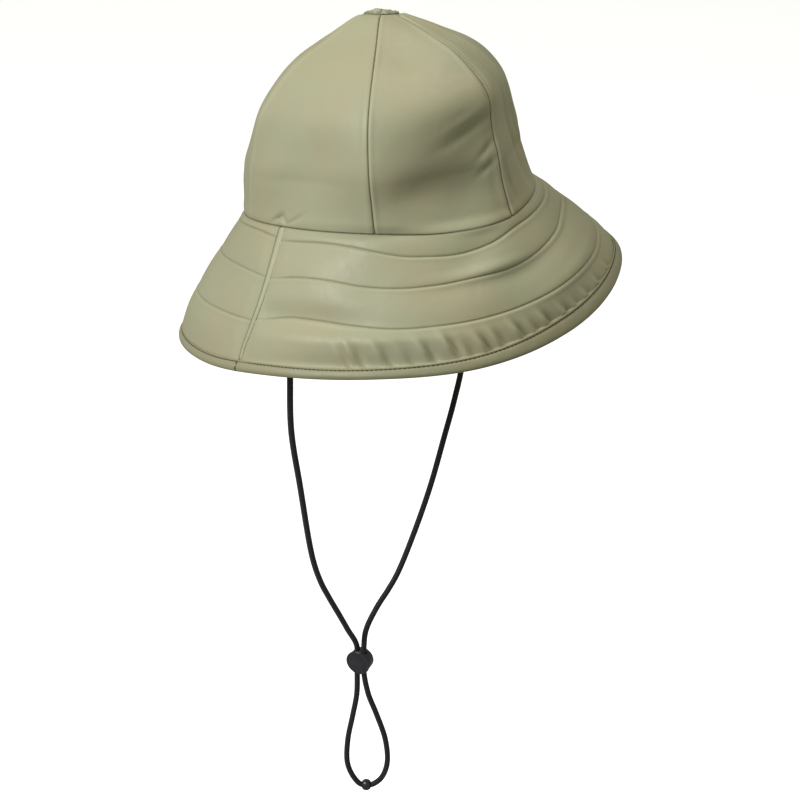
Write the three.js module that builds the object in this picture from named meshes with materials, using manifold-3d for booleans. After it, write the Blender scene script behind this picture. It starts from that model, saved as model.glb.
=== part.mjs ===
// Rain hat with a six panel crown, a long sloping brim and a chin cord.
// Sizes are in millimetres and Z is up. The hat is in its worn pose: the front
// looks along -Y, the wearer's right side is -X, the back hangs a little lower,
// and the origin is the middle of the head opening.

import * as THREE from 'three';
import Module from 'manifold-3d';

// Real sizes of the hat
const HEAD_LENGTH = 200;
const HEAD_WIDTH = 172;
const HEAD_SQUARENESS = 2.15;
const CROWN_HEIGHT = 121.5;
const BRIM_LENGTH = 92;
const BACK_TILT = 10.5;
const CROWN_THICK = 1.4;
const BRIM_THICK = 2.2;
const GAP = 0.3;

// The crown's tip leans from the middle of the opening by these amounts
const TIP_TO_LEFT = 8;
const TIP_TO_FRONT = 11.4;

// Half way up, the crown bows from that lean by these amounts
const BOW_TO_RIGHT = 3.2;
const BOW_TO_FRONT = 7.8;

// How flat a crown panel is between its seams: 0 is round, 1 a flat facet,
// reached at this share of the crown's height
const PANEL_FLATNESS = 0.45;
const FLAT_FROM = 0.25;

// Edge tape, side seams and top patch
const TAPE_THICK = 0.8;
const TAPE_FOLD = 0.7;
const JOIN_LUMP = 0.5;
const SIDE_SEAM_TURN = 99.4;
const SEAM_STRIP_WIDE = 5.4;
const SEAM_STRIP_THICK = 0.8;
const PATCH_START = 0.979;
const PATCH_THICK = 1.2;
const PATCH_PUCKER = 0.35;
const PATCH_DOME = 0.3;

// Cord, its two tabs inside the crown, its lock and the bead on its loop
const CORD_WIDE = 4.2;
const TAB_TURNS = [95, 265];
const TAB_WIDE = 13;
const TAB_TALL = 10.8;
const TAB_THICK = 4.4;
const LOCK_WIDE = 19;
const LOCK_THICK = 8.2;
const CAP_THICK = 2.25;
const LOCK_BORE_CLEAR = 0.4;
const BEAD_TALL = 9;
const BEAD_BORE_CLEAR = 0.6;

const radians = THREE.MathUtils.degToRad;

// Turns go from the front (0) over the wearer's right (90) to the back (180)
const PANEL_SEAM_TURNS = [-3, 57.5, 122, 180, 238, 302.5];

// How the crown narrows: share of the height, share of the opening's size
const CROWN_PROFILE = [
  { height: 0.00, size: 1.000 },
  { height: 0.12, size: 0.990 },
  { height: 0.26, size: 0.983 },
  { height: 0.40, size: 0.943 },
  { height: 0.54, size: 0.888 },
  { height: 0.68, size: 0.766 },
  { height: 0.80, size: 0.608 },
  { height: 0.89, size: 0.394 },
  { height: 0.96, size: 0.189 },
  { height: 1.00, size: 0.041 },
];

// The brim every 30 degrees of turn. The root seam rises above the opening's
// plane by a share of HEAD_LENGTH, length and belly are shares of BRIM_LENGTH,
// the fall is in degrees, and the edge tape starts at a share of the way out
const BRIM_SECTIONS = [
  { rise: -0.0380, length: 0.88, fall: 61.5, belly: 0.028, tape: 0.862 },
  { rise: -0.0235, length: 0.94, fall: 62.0, belly: 0.028, tape: 0.900 },
  { rise: 0.0070, length: 0.99, fall: 59.0, belly: 0.028, tape: 0.926 },
  { rise: 0.0190, length: 1.03, fall: 57.0, belly: 0.028, tape: 0.922 },
  { rise: 0.0155, length: 1.07, fall: 58.5, belly: 0.017, tape: 0.925 },
  { rise: -0.0005, length: 1.10, fall: 53.2, belly: 0.009, tape: 0.928 },
  { rise: -0.0040, length: 1.08, fall: 51.7, belly: 0.014, tape: 0.928 },
  { rise: 0.0010, length: 1.04, fall: 52.8, belly: 0.020, tape: 0.925 },
  { rise: 0.0085, length: 1.01, fall: 53.0, belly: 0.026, tape: 0.922 },
  { rise: 0.0125, length: 0.98, fall: 49.8, belly: 0.028, tape: 0.916 },
  { rise: 0.0075, length: 0.95, fall: 46.1, belly: 0.032, tape: 0.896 },
  { rise: -0.0095, length: 0.89, fall: 56.0, belly: 0.032, tape: 0.868 },
];

// Soft dents in the crown's cloth: the middle as turn and share of the height,
// half sizes as degrees and share of the height, depth as a share of HEAD_WIDTH
const CROWN_DENTS = [
  { turn: 30, height: 0.32, wide: 24, tall: 0.17, deep: 0.0140 },
  { turn: -20, height: 0.30, wide: 12, tall: 0.20, deep: 0.0105 },
  { turn: 88, height: 0.16, wide: 22, tall: 0.10, deep: 0.0060 },
  { turn: 205, height: 0.34, wide: 22, tall: 0.18, deep: 0.0116 },
  { turn: 272, height: 0.28, wide: 20, tall: 0.16, deep: 0.0093 },
];

// The way of the cord from the right anchor through the lock, round the loop
// and the bead, back through the lock and up to the left anchor
const CORD_ROUTE = [
  [-81.9, 9.1, 2.0], [-83.2, 8.8, -30.0], [-86.2, 8.4, -70.0],
  [-88.7, 8.0, -105.5], [-88.6, 8.3, -141.2], [-80.3, 9.5, -187.8],
  [-66.6, 12.4, -252.3], [-57.4, 13.7, -277.0], [-47.9, 14.6, -295.4],
  [-37.0, 15.8, -314.8], [-26.0, 17.6, -334.1], [-12.4, 20.8, -357.5],
  [-12.4, 20.8, -368.9], [-12.4, 20.8, -380.3], [-13.4, 20.6, -399.5],
  [-15.7, 22.6, -417.8], [-18.4, 25.8, -441.8], [-18.7, 26.1, -463.4],
  [-15.7, 22.6, -476.7], [-12.2, 18.6, -483.3], [-9.5, 15.4, -483.8],
  [-6.8, 12.2, -483.6], [-2.2, 6.8, -477.6], [0.8, 3.3, -464.3],
  [0.1, 4.1, -441.8], [-4.2, 9.2, -417.8], [-8.4, 13.3, -399.5],
  [-11.0, 15.2, -380.3], [-11.0, 15.2, -368.9], [-11.0, 15.2, -357.5],
  [-8.6, 15.0, -342.5], [2.0, 13.0, -326.2], [11.4, 11.1, -316.2],
  [20.0, 9.2, -305.0], [33.6, 5.3, -276.0], [47.3, 1.1, -240.0],
  [58.1, -2.3, -203.6], [67.4, -4.3, -174.4], [75.0, -4.6, -149.0],
  [80.2, -2.0, -110.0], [82.2, 3.4, -55.0], [81.9, 8.9, 0.4],
];
const CORD_STEPS = 80;
const LOCK_PLACE = new THREE.Vector3(-11.7, 18, -368.9);
const LOCK_FACING = new THREE.Vector3(-0.974, -0.226, 0);
const LOCK_BORE_APART = 5.8;
const BEAD_PLACE = new THREE.Vector3(-9.5, 15.4, -483.8);
const LOOP_SIDEWAYS = new THREE.Vector3(0.651, -0.759, 0);

const CLOTH = { color: 0xa9a886, roughness: 0.62, metalness: 0 };
const TAPE = { color: 0x98977a, roughness: 0.66, metalness: 0 };
const PATCH = { color: 0x8c8d74, roughness: 0.72, metalness: 0 };
const ELASTIC = { color: 0x232326, roughness: 0.75, metalness: 0 };
const PLASTIC = { color: 0x2e2e33, roughness: 0.42, metalness: 0 };

const hat = new THREE.Group();
hat.name = 'rain_hat';

// Adds one closed body to the hat
function addPiece(name, geometry, look) {
  const material = new THREE.MeshStandardMaterial(look);
  const mesh = new THREE.Mesh(geometry, material);
  mesh.name = name;
  hat.add(mesh);
}

// Makes a geometry from corner points and triangles
function meshFrom(points, triangles) {
  const geometry = new THREE.BufferGeometry();
  const flat = points.flatMap((point) => [point.x, point.y, point.z]);
  geometry.setAttribute('position', new THREE.Float32BufferAttribute(flat, 3));
  geometry.setIndex(triangles.flat());
  geometry.computeVertexNormals();
  return geometry;
}

// Smooth value of a table that repeats round the hat every full turn
function aroundTable(table, column, turn) {
  const count = table.length;
  const place = (((turn % 360) + 360) % 360) * count / 360;
  const start = Math.floor(place);
  const part = place - start;
  const value = (offset) => table[(start + offset + count) % count][column];
  const [before, here, next, after] = [-1, 0, 1, 2].map(value);
  const slope = next - before;
  const curve = 2 * before - 5 * here + 4 * next - after;
  const twist = 3 * here - before - 3 * next + after;
  return 0.5 * (2 * here + slope * part + curve * part ** 2 + twist * part ** 3);
}

// Slope of the crown profile at one of its rows, kept from overshooting
function profileSlope(row) {
  const rows = CROWN_PROFILE;
  const rise = (index) => rows[index + 1].height - rows[index].height;
  const steep = (index) => (rows[index + 1].size - rows[index].size) / rise(index);
  if (row === 0) return steep(0);
  if (row === rows.length - 1) return steep(row - 1);
  const low = steep(row - 1);
  const high = steep(row);
  if (low * high <= 0) return 0;
  const lowWeight = 2 * rise(row) + rise(row - 1);
  const highWeight = rise(row) + 2 * rise(row - 1);
  return (lowWeight + highWeight) / (lowWeight / low + highWeight / high);
}

// Share of the opening's size that the crown has at a share of its height
function profileSize(height) {
  const rows = CROWN_PROFILE;
  const last = rows.length - 2;
  const found = rows.findIndex((row) => row.height > height) - 1;
  const index = found < 0 ? last : found;
  const step = rows[index + 1].height - rows[index].height;
  const part = (height - rows[index].height) / step;
  const square = part * part;
  const cube = square * part;
  return rows[index].size * (2 * cube - 3 * square + 1)
    + step * profileSlope(index) * (cube - 2 * square + part)
    + rows[index + 1].size * (3 * square - 2 * cube)
    + step * profileSlope(index + 1) * (cube - square);
}

// Leans a point from the opening's plane into the worn pose
function worn(point) {
  return point.applyAxisAngle(new THREE.Vector3(1, 0, 0), radians(-BACK_TILT));
}

// Point of the root seam, where the crown meets the brim
function rootPoint(turn) {
  const sine = Math.sin(radians(turn));
  const cosine = Math.cos(radians(turn));
  const power = HEAD_SQUARENESS;
  const reach = (Math.abs(cosine) ** power + Math.abs(sine) ** power) ** (-1 / power);
  return new THREE.Vector3(
    -HEAD_WIDTH / 2 * reach * sine,
    -HEAD_LENGTH / 2 * reach * cosine,
    HEAD_LENGTH * aroundTable(BRIM_SECTIONS, 'rise', turn),
  );
}

// Level direction straight out from the root seam
function outward(turn) {
  return new THREE.Vector3(
    -Math.sin(radians(turn)) / HEAD_WIDTH,
    -Math.cos(radians(turn)) / HEAD_LENGTH,
    0,
  ).normalize();
}

// How much the flat middle of a crown panel lies inside the round
function panelFlatness(turn, height) {
  const first = PANEL_SEAM_TURNS[0];
  const wrapped = ((turn - first) % 360 + 360) % 360 + first;
  const ends = [...PANEL_SEAM_TURNS, first + 360];
  let panel = ends.findIndex((end) => end > wrapped) - 1;
  if (panel < 0) panel = ends.length - 2;
  const across = (wrapped - ends[panel]) / (ends[panel + 1] - ends[panel]) * 2 - 1;
  const flat = 1 - Math.cos(radians(30)) / Math.cos(radians(30 * across));
  return 1 - PANEL_FLATNESS * flat * Math.min(1, height / FLAT_FROM);
}

// Depth of the soft dents at one place of the crown
function dentDepth(turn, height) {
  let depth = 0;
  for (const dent of CROWN_DENTS) {
    const away = ((turn - dent.turn + 540) % 360) - 180;
    const side = away / dent.wide;
    const level = (height - dent.height) / dent.tall;
    depth += HEAD_WIDTH * dent.deep * Math.exp(-side * side - level * level);
  }
  return depth;
}

// Outside of the crown: round gives the plain round form without panels
function crownPoint(turn, height, round = false) {
  const root = rootPoint(turn);
  const size = profileSize(height) * (round ? 1 : panelFlatness(turn, height));
  const lean = height * height;
  const bow = height * (1 - height);
  const dent = round ? 0 : dentDepth(turn, height);
  const inward = outward(turn).multiplyScalar(-dent);
  return worn(new THREE.Vector3(
    root.x * size + TIP_TO_LEFT * lean - BOW_TO_RIGHT * bow + inward.x,
    root.y * size - TIP_TO_FRONT * lean - BOW_TO_FRONT * bow + inward.y,
    root.z * (1 - height) ** 2 + CROWN_HEIGHT * height,
  ));
}

// Direction straight out of a surface, from its own points
function outOf(surface, turn, share) {
  const low = Math.max(0, Math.min(0.985, share - 0.01));
  const along = surface(turn + 0.6, share).sub(surface(turn - 0.6, share));
  const up = surface(turn, low + 0.015).sub(surface(turn, low));
  return up.cross(along).normalize();
}

// Length of the brim from its root to its edge at one turn
function brimLength(turn) {
  return BRIM_LENGTH * aroundTable(BRIM_SECTIONS, 'length', turn);
}

// Top side of the brim, from its root (0) to its edge (1)
function brimPoint(turn, share) {
  const fall = radians(aroundTable(BRIM_SECTIONS, 'fall', turn));
  const length = brimLength(turn);
  const puff = BRIM_LENGTH * aroundTable(BRIM_SECTIONS, 'belly', turn);
  const belly = 4 * share * (1 - share) * puff;
  const out = share * length * Math.cos(fall) + belly * Math.sin(fall);
  const point = rootPoint(turn).addScaledVector(outward(turn), out);
  point.z += -share * length * Math.sin(fall) + belly * Math.cos(fall);
  return worn(point);
}

// Direction straight out of the brim's top side
function outOfBrim(turn, share) {
  const step = share > 0.97 ? -0.02 : 0.02;
  const along = brimPoint(turn + 0.6, share).sub(brimPoint(turn - 0.6, share));
  const down = brimPoint(turn, share + step).sub(brimPoint(turn, share));
  return along.cross(down).multiplyScalar(Math.sign(step)).normalize();
}

// Closed sheet between two grids of points with the same rows and columns
function slab(outer, inner) {
  const rows = outer.length;
  const columns = outer[0].length;
  const points = [...outer.flat(), ...inner.flat()];
  const other = rows * columns;
  const at = (row, column) => row * columns + column;
  const triangles = [];
  for (let row = 0; row < rows - 1; row += 1) {
    for (let column = 0; column < columns - 1; column += 1) {
      const corners = [
        at(row, column), at(row, column + 1), at(row + 1, column + 1), at(row + 1, column),
      ];
      const [a, b, c, d] = corners;
      triangles.push([a, b, c], [a, c, d]);
      triangles.push([other + a, other + c, other + b], [other + a, other + d, other + c]);
    }
  }
  const rim = [];
  for (let column = 0; column < columns - 1; column += 1) rim.push(at(0, column));
  for (let row = 0; row < rows - 1; row += 1) rim.push(at(row, columns - 1));
  for (let column = columns - 1; column > 0; column -= 1) rim.push(at(rows - 1, column));
  for (let row = rows - 1; row > 0; row -= 1) rim.push(at(row, 0));
  rim.forEach((here, index) => {
    const next = rim[(index + 1) % rim.length];
    triangles.push([here, other + next, next], [here, other + here, other + next]);
  });
  return meshFrom(points, triangles);
}

// Evenly spaced numbers from a first to a last one
function spread(first, last, count) {
  return Array.from({ length: count }, (_, index) => first + (last - first) * index / (count - 1));
}

// One crown panel between two seams
function crownPanel(startTurn, endTurn) {
  const heights = [0, 0.06, 0.14, 0.23, 0.32, 0.42, 0.52, 0.61, 0.7, 0.78, 0.86, 0.92, 0.96, 1];
  const grid = (deep) => heights.map((height) => {
    const reach = rootPoint(startTurn).length() * profileSize(height);
    const inset = THREE.MathUtils.radToDeg(GAP / 2 / reach);
    return spread(startTurn + inset, endTurn - inset, 11).map((turn) => {
      const out = outOf((where, share) => crownPoint(where, share, true), turn, height);
      return crownPoint(turn, height).addScaledVector(out, -deep);
    });
  });
  const outer = grid(0).map((row) => row.slice().reverse());
  const inner = grid(CROWN_THICK).map((row) => row.slice().reverse());
  return slab(outer, inner);
}

// Share of the way out at which the edge tape starts
function tapeStart(turn) {
  return aroundTable(BRIM_SECTIONS, 'tape', turn);
}

// Share of the way out at which the folded tape closes over the cloth's edge
function tapeClose(turn, clear) {
  return 1 - (TAPE_THICK + TAPE_FOLD + clear) / brimLength(turn);
}

// One piece of the brim between two side seams, reaching into the edge tape
function brimPiece(startTurn, endTurn, columns) {
  const rows = [0.005, 0.09, 0.22, 0.38, 0.54, 0.70, 0.86, 1];
  const shareAt = (row, turn) => row * tapeStart(turn);
  const sharesAt = (turn) => [
    ...rows.map((row) => shareAt(row, turn)),
    tapeClose(turn, GAP),
  ];
  const grid = (deep) => sharesAt(startTurn).map((_, row) => {
    const reach = brimPoint(startTurn, sharesAt(startTurn)[row]).length();
    const inset = THREE.MathUtils.radToDeg(GAP / 2 / reach);
    return spread(startTurn + inset, endTurn - inset, columns).map((turn) => {
      const share = sharesAt(turn)[row];
      return brimPoint(turn, share).addScaledVector(outOfBrim(turn, share), -deep);
    });
  });
  return slab(grid(GAP), grid(GAP + BRIM_THICK));
}

// Raised strip of the lapped side seam, lying on the front brim piece
function seamStrip(turn, towardFront) {
  const rows = [0.03, 0.22, 0.44, 0.66, 0.85, 1];
  const last = tapeStart(turn) - GAP * 3 / brimLength(turn);
  const grid = (high) => rows.map((row) => {
    const share = row * last;
    const reach = brimPoint(turn, share).length();
    const wide = SEAM_STRIP_WIDE * (1 - 0.4 * share);
    const step = THREE.MathUtils.radToDeg(wide / reach) * towardFront;
    const ends = [turn, turn + step].sort((one, two) => one - two);
    return spread(ends[0], ends[1], 3).map((where) => (
      brimPoint(where, share).addScaledVector(outOfBrim(where, share), high)
    ));
  });
  return slab(grid(SEAM_STRIP_THICK), grid(0));
}

// Edge tape folded round the brim's edge, with its own join at the right seam
function edgeTape() {
  const columns = 90;
  const points = [];
  const low = -(GAP + BRIM_THICK + GAP);
  const section = (start, close, lump) => [
    [start, 0], [close, 0], [close, low], [start, low],
    [start, low - TAPE_THICK], [close, low - TAPE_THICK - lump],
    [1, low + TAPE_THICK / 4], [1, -TAPE_THICK * 3 / 4],
    [close, TAPE_THICK + lump], [start, TAPE_THICK],
  ];
  for (let column = 0; column < columns; column += 1) {
    const turn = column * 360 / columns;
    const lump = JOIN_LUMP * Math.exp(-(((turn - SIDE_SEAM_TURN + 2) / 3) ** 2));
    for (const [share, high] of section(tapeStart(turn), tapeClose(turn, 0), lump)) {
      points.push(brimPoint(turn, share).addScaledVector(outOfBrim(turn, share), high));
    }
  }
  const sides = 10;
  const triangles = [];
  for (let column = 0; column < columns; column += 1) {
    for (let side = 0; side < sides; side += 1) {
      const here = column * sides + side;
      const beside = column * sides + (side + 1) % sides;
      const ahead = ((column + 1) % columns) * sides + side;
      const corner = ((column + 1) % columns) * sides + (side + 1) % sides;
      triangles.push([here, beside, corner], [here, corner, ahead]);
    }
  }
  return meshFrom(points, triangles);
}

// Small puckered patch of cloth over the tips of the six panels
function topPatch() {
  const columns = 24;
  const middleRow = (PATCH_START + 1) / 2;
  const heights = [PATCH_START, middleRow, 1];
  const points = [];
  const ring = (height, high) => spread(0, 360 - 360 / columns, columns).map((turn) => {
    const out = outOf((where, share) => crownPoint(where, share, true), turn, height);
    return crownPoint(turn, height, true).addScaledVector(out, high);
  });
  const pucker = (index) => PATCH_PUCKER * (index % 3 === 0 ? 1 : -0.3);
  for (const height of heights) points.push(...ring(height, GAP));
  for (const height of heights.slice().reverse()) {
    const high = GAP + PATCH_THICK * (height === PATCH_START ? 0.8 : 1);
    ring(height, high).forEach((point, index) => {
      point.z += height === middleRow ? pucker(index) : 0;
      points.push(point);
    });
  }
  const middle = crownPoint(0, 1, true).add(crownPoint(180, 1, true)).multiplyScalar(0.5);
  const above = (rise) => middle.clone().add(new THREE.Vector3(0, 0, rise));
  const under = points.push(above(GAP + PATCH_DOME)) - 1;
  const over = points.push(above(GAP + PATCH_THICK + PATCH_DOME)) - 1;
  const triangles = [];
  const at = (row, column) => row * columns + (column + columns) % columns;
  const order = [2, 1, 0, 5, 4, 3];
  for (let column = 0; column < columns; column += 1) {
    order.slice(0, 5).forEach((row, index) => {
      const next = order[index + 1];
      const [a, b] = [at(row, column), at(row, column + 1)];
      const [c, d] = [at(next, column + 1), at(next, column)];
      triangles.push([a, c, b], [a, d, c]);
    });
    triangles.push([under, at(2, column), at(2, column + 1)]);
    triangles.push([over, at(3, column + 1), at(3, column)]);
  }
  return meshFrom(points, triangles);
}

// Plain sewn tab inside the root of the crown that holds one end of the cord
function anchorTab(turn) {
  const low = 0.006;
  const heights = spread(low, low + TAB_TALL / CROWN_HEIGHT, 3);
  const half = THREE.MathUtils.radToDeg(TAB_WIDE / 2 / rootPoint(turn).length());
  const grid = (deep) => heights.map((height) => (
    spread(turn + half, turn - half, 5).map((where) => {
      const out = outOf((place, share) => crownPoint(place, share, true), where, height);
      return crownPoint(where, height).addScaledVector(out, -deep);
    })
  ));
  return slab(grid(CROWN_THICK + GAP), grid(CROWN_THICK + GAP + TAB_THICK));
}

// Curve whose steps lie closer together where its points do
class CordCurve extends THREE.CatmullRomCurve3 {
  getPointAt(share, target) {
    return this.getPoint(share, target);
  }

  getTangentAt(share, target) {
    return this.getTangent(share, target);
  }
}

// Round cord along its route
function chinCord() {
  const route = CORD_ROUTE.map(([x, y, z]) => new THREE.Vector3(x, y, z));
  const curve = new CordCurve(route, false, 'centripetal');
  const outline = spread(0, 315, 8).map((angle) => new THREE.Vector2(
    CORD_WIDE / 2 * Math.cos(radians(angle)),
    CORD_WIDE / 2 * Math.sin(radians(angle)),
  ));
  const shape = new THREE.Shape(outline);
  return new THREE.ExtrudeGeometry(shape, {
    steps: CORD_STEPS, curveSegments: 1, bevelEnabled: false, extrudePath: curve,
  });
}

const manifold = await Module();
manifold.setup();

// Solid for joining and cutting, from a closed geometry
function toSolid(geometry) {
  const position = geometry.getAttribute('position');
  const index = geometry.getIndex();
  const count = index ? index.count : position.count;
  const mesh = new manifold.Mesh({
    numProp: 3,
    vertProperties: new Float32Array(position.array),
    triVerts: Uint32Array.from({ length: count }, (_, item) => (index ? index.getX(item) : item)),
  });
  mesh.merge();
  return new manifold.Manifold(mesh);
}

// Geometry of a joined or cut solid
function fromSolid(solid) {
  const mesh = solid.getMesh();
  const geometry = new THREE.BufferGeometry();
  const corners = new Float32Array(mesh.vertProperties);
  geometry.setAttribute('position', new THREE.BufferAttribute(corners, 3));
  geometry.setIndex(Array.from(mesh.triVerts));
  geometry.computeVertexNormals();
  return geometry;
}

// Straight rod through a place along a direction, for cutting a bore
function rod(place, direction, wide, long, sides = 16) {
  const geometry = new THREE.CylinderGeometry(wide / 2, wide / 2, long, sides);
  const turn = new THREE.Quaternion().setFromUnitVectors(new THREE.Vector3(0, 1, 0), direction);
  geometry.applyQuaternion(turn);
  geometry.translate(place.x, place.y, place.z);
  return toSolid(geometry);
}

// Turned body about the lock's own axis, from a closed half outline
function lockPart(outline) {
  const points = outline.map(([wide, high]) => new THREE.Vector2(wide, high));
  const geometry = new THREE.LatheGeometry(points, 28);
  const turn = new THREE.Quaternion().setFromUnitVectors(new THREE.Vector3(0, 1, 0), LOCK_FACING);
  geometry.applyQuaternion(turn);
  geometry.translate(LOCK_PLACE.x, LOCK_PLACE.y, LOCK_PLACE.z);
  return toSolid(geometry);
}

// Height of the lock body's flat face over the middle of its bores
const lockFace = LOCK_THICK * 0.378;

// Lock body with the two bores for the cord
function lockBody() {
  const half = LOCK_WIDE / 2;
  const back = lockFace - LOCK_THICK;
  const body = lockPart([
    [0, back], [half * 0.62, back], [half * 0.88, back * 0.76], [half * 0.98, back * 0.35],
    [half * 0.98, lockFace * 0.5], [half * 0.93, lockFace], [0, lockFace], [0, back],
  ]);
  const along = new THREE.Vector3(-LOCK_FACING.y, LOCK_FACING.x, 0);
  const up = new THREE.Vector3(0, 0, 1);
  const bores = [-0.5, 0.5].map((side) => rod(
    LOCK_PLACE.clone().addScaledVector(along, side * LOCK_BORE_APART),
    up, CORD_WIDE + 2 * LOCK_BORE_CLEAR, LOCK_WIDE * 1.4,
  ));
  return fromSolid(body.subtract(bores[0]).subtract(bores[1]));
}

// Round cap on the face of the lock
function lockCap() {
  const half = LOCK_WIDE / 2;
  const low = lockFace + GAP;
  return fromSolid(lockPart([
    [0, low], [half * 0.93, low], [half, low + CAP_THICK * 0.18], [half, low + CAP_THICK * 0.44],
    [half * 0.9, low + CAP_THICK * 0.76], [half * 0.6, low + CAP_THICK * 0.93],
    [0, low + CAP_THICK], [0, low],
  ]));
}

// Two lobed bead threaded on the low end of the loop
function loopBead() {
  const radius = BEAD_TALL * 0.44;
  const lobe = (side) => {
    const geometry = new THREE.SphereGeometry(radius, 14, 10);
    geometry.scale(1.05, 1.05, 0.86);
    geometry.translate(BEAD_PLACE.x, BEAD_PLACE.y, BEAD_PLACE.z + side * BEAD_TALL * 0.133);
    return toSolid(geometry);
  };
  const bore = rod(BEAD_PLACE, LOOP_SIDEWAYS, CORD_WIDE + 2 * BEAD_BORE_CLEAR, BEAD_TALL * 2);
  return fromSolid(lobe(1).add(lobe(-1)).subtract(bore));
}

const sideSeams = [SIDE_SEAM_TURN, 360 - SIDE_SEAM_TURN];

PANEL_SEAM_TURNS.forEach((turn, index) => {
  const next = PANEL_SEAM_TURNS[index + 1] ?? PANEL_SEAM_TURNS[0] + 360;
  addPiece(`crown_panel_${index + 1}`, crownPanel(turn, next), CLOTH);
});
addPiece('top_patch', topPatch(), PATCH);
addPiece('brim_front', brimPiece(sideSeams[1] - 360, sideSeams[0], 45), CLOTH);
addPiece('brim_back', brimPiece(sideSeams[0], sideSeams[1], 37), CLOTH);
addPiece('side_seam_right', seamStrip(sideSeams[0], -1), CLOTH);
addPiece('side_seam_left', seamStrip(sideSeams[1], 1), CLOTH);
addPiece('edge_tape', edgeTape(), TAPE);
addPiece('cord_anchor_right', anchorTab(TAB_TURNS[0]), CLOTH);
addPiece('cord_anchor_left', anchorTab(TAB_TURNS[1]), CLOTH);
addPiece('chin_cord', chinCord(), ELASTIC);
addPiece('cord_lock_body', lockBody(), PLASTIC);
addPiece('cord_lock_cap', lockCap(), PLASTIC);
addPiece('loop_bead', loopBead(), PLASTIC);

export default hat;
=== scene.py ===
"""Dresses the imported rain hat: sewn cloth, edge tape, stitching, chin cord and fittings.

All lengths are metres. A turn goes from the front (0 degrees) over the wearer's right
(90) to the back (180). A height is a share of the crown's height, and a share of the
brim goes from its root (0) to its edge (1).
"""

import logging
import math
from collections.abc import Callable
from dataclasses import dataclass, field
from enum import Enum

import bpy
import numpy as np
from mathutils import Euler, Matrix, Vector

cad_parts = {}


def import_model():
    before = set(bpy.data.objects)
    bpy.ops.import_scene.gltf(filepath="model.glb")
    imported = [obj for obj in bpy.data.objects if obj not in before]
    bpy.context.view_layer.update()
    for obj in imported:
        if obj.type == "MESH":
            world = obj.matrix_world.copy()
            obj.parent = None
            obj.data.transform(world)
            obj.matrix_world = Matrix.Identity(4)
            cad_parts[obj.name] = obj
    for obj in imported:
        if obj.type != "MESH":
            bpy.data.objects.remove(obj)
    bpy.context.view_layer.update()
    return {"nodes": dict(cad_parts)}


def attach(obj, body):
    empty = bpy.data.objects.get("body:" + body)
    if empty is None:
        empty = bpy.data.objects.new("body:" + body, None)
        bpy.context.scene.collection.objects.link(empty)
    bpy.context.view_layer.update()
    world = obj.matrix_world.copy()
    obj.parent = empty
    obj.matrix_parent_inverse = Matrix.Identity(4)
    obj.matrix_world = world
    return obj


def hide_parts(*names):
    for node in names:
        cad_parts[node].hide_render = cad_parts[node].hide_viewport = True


log = logging.getLogger("rain_hat")

MM = 0.001
Array = np.ndarray


# Plain helpers


def ease(value: Array) -> Array:
    """Smooth step from 0 to 1 over the values 0 to 1."""
    part = np.clip(value, 0.0, 1.0)
    return part * part * (3.0 - 2.0 * part)


def hump(distance: Array, centre: float, wide: float) -> Array:
    """Round hump of height 1 at centre, falling away over wide."""
    return np.exp(-(((distance - centre) / wide) ** 2))


def swell(points: Array, wavelength: float, seed: int) -> Array:
    """Slow uneven swelling of soft cloth, from a few crossed waves.

    Args:
        points: Places in space, any shape that ends in 3.
        wavelength: Mean distance between two crests.
        seed: Number that picks the waves.

    Returns:
        Values of about -1 to 1, one for each place.
    """
    rng = np.random.default_rng(seed)
    total = np.zeros(points.shape[:-1])
    for _ in range(9):
        way = rng.normal(size=3)
        way = way / np.linalg.norm(way)
        length = wavelength * rng.uniform(0.7, 1.5)
        total += np.sin(points @ way * (2.0 * math.pi / length) + rng.uniform(0.0, 6.28))
    return total / 4.2


def bridge(ends: tuple[Array, Array], slopes: tuple[Array, Array], part: Array) -> Array:
    """Cubic curve from one value to the next.

    Args:
        ends: Values at the start and at the end.
        slopes: Change of the value over the whole way, as it is at the start and at the end.
        part: Share of the way.

    Returns:
        Value at that share.
    """
    square, cube = part**2, part**3
    return (
        ends[0] * (2 * cube - 3 * square + 1)
        + slopes[0] * (cube - 2 * square + part)
        + ends[1] * (3 * square - 2 * cube)
        + slopes[1] * (cube - square)
    )


def smooth_table(turns: tuple[float, ...], values: tuple[float, ...], at: Array) -> Array:
    """Smooth curve through a short table.

    Args:
        turns: Places of the table's rows, rising.
        values: Value of each row.
        at: Places to read; beyond the ends the end values hold.

    Returns:
        One value for each place.
    """
    x, y = np.asarray(turns, float), np.asarray(values, float)
    slope = np.gradient(y, x)
    where = np.clip(at, x[0], x[-1])
    low = np.clip(np.searchsorted(x, where, side="right") - 1, 0, len(x) - 2)
    step = x[low + 1] - x[low]
    part = (where - x[low]) / step
    return bridge((y[low], y[low + 1]), (step * slope[low], step * slope[low + 1]), part)


def spaced(width: float, near: tuple[float, ...], pitch: float) -> Array:
    """Shares from 0 to 1 that lie close together at both ends of a width.

    Args:
        width: Whole width.
        near: Distances from each end that get a line of their own.
        pitch: Distance between the lines in the middle.

    Returns:
        Rising shares of the width.
    """
    ends = [step for step in near if step < width * 0.42]
    first = ends[-1]
    count = max(2, int(round((width - 2 * first) / pitch)) + 1)
    middle = np.linspace(first, width - first, count)[1:-1]
    return np.concatenate([ends, middle, [width - step for step in reversed(ends)]]) / width


def unit(vectors: Array) -> Array:
    """The same directions, each one long."""
    return vectors / np.maximum(np.linalg.norm(vectors, axis=-1, keepdims=True), 1e-12)


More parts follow.
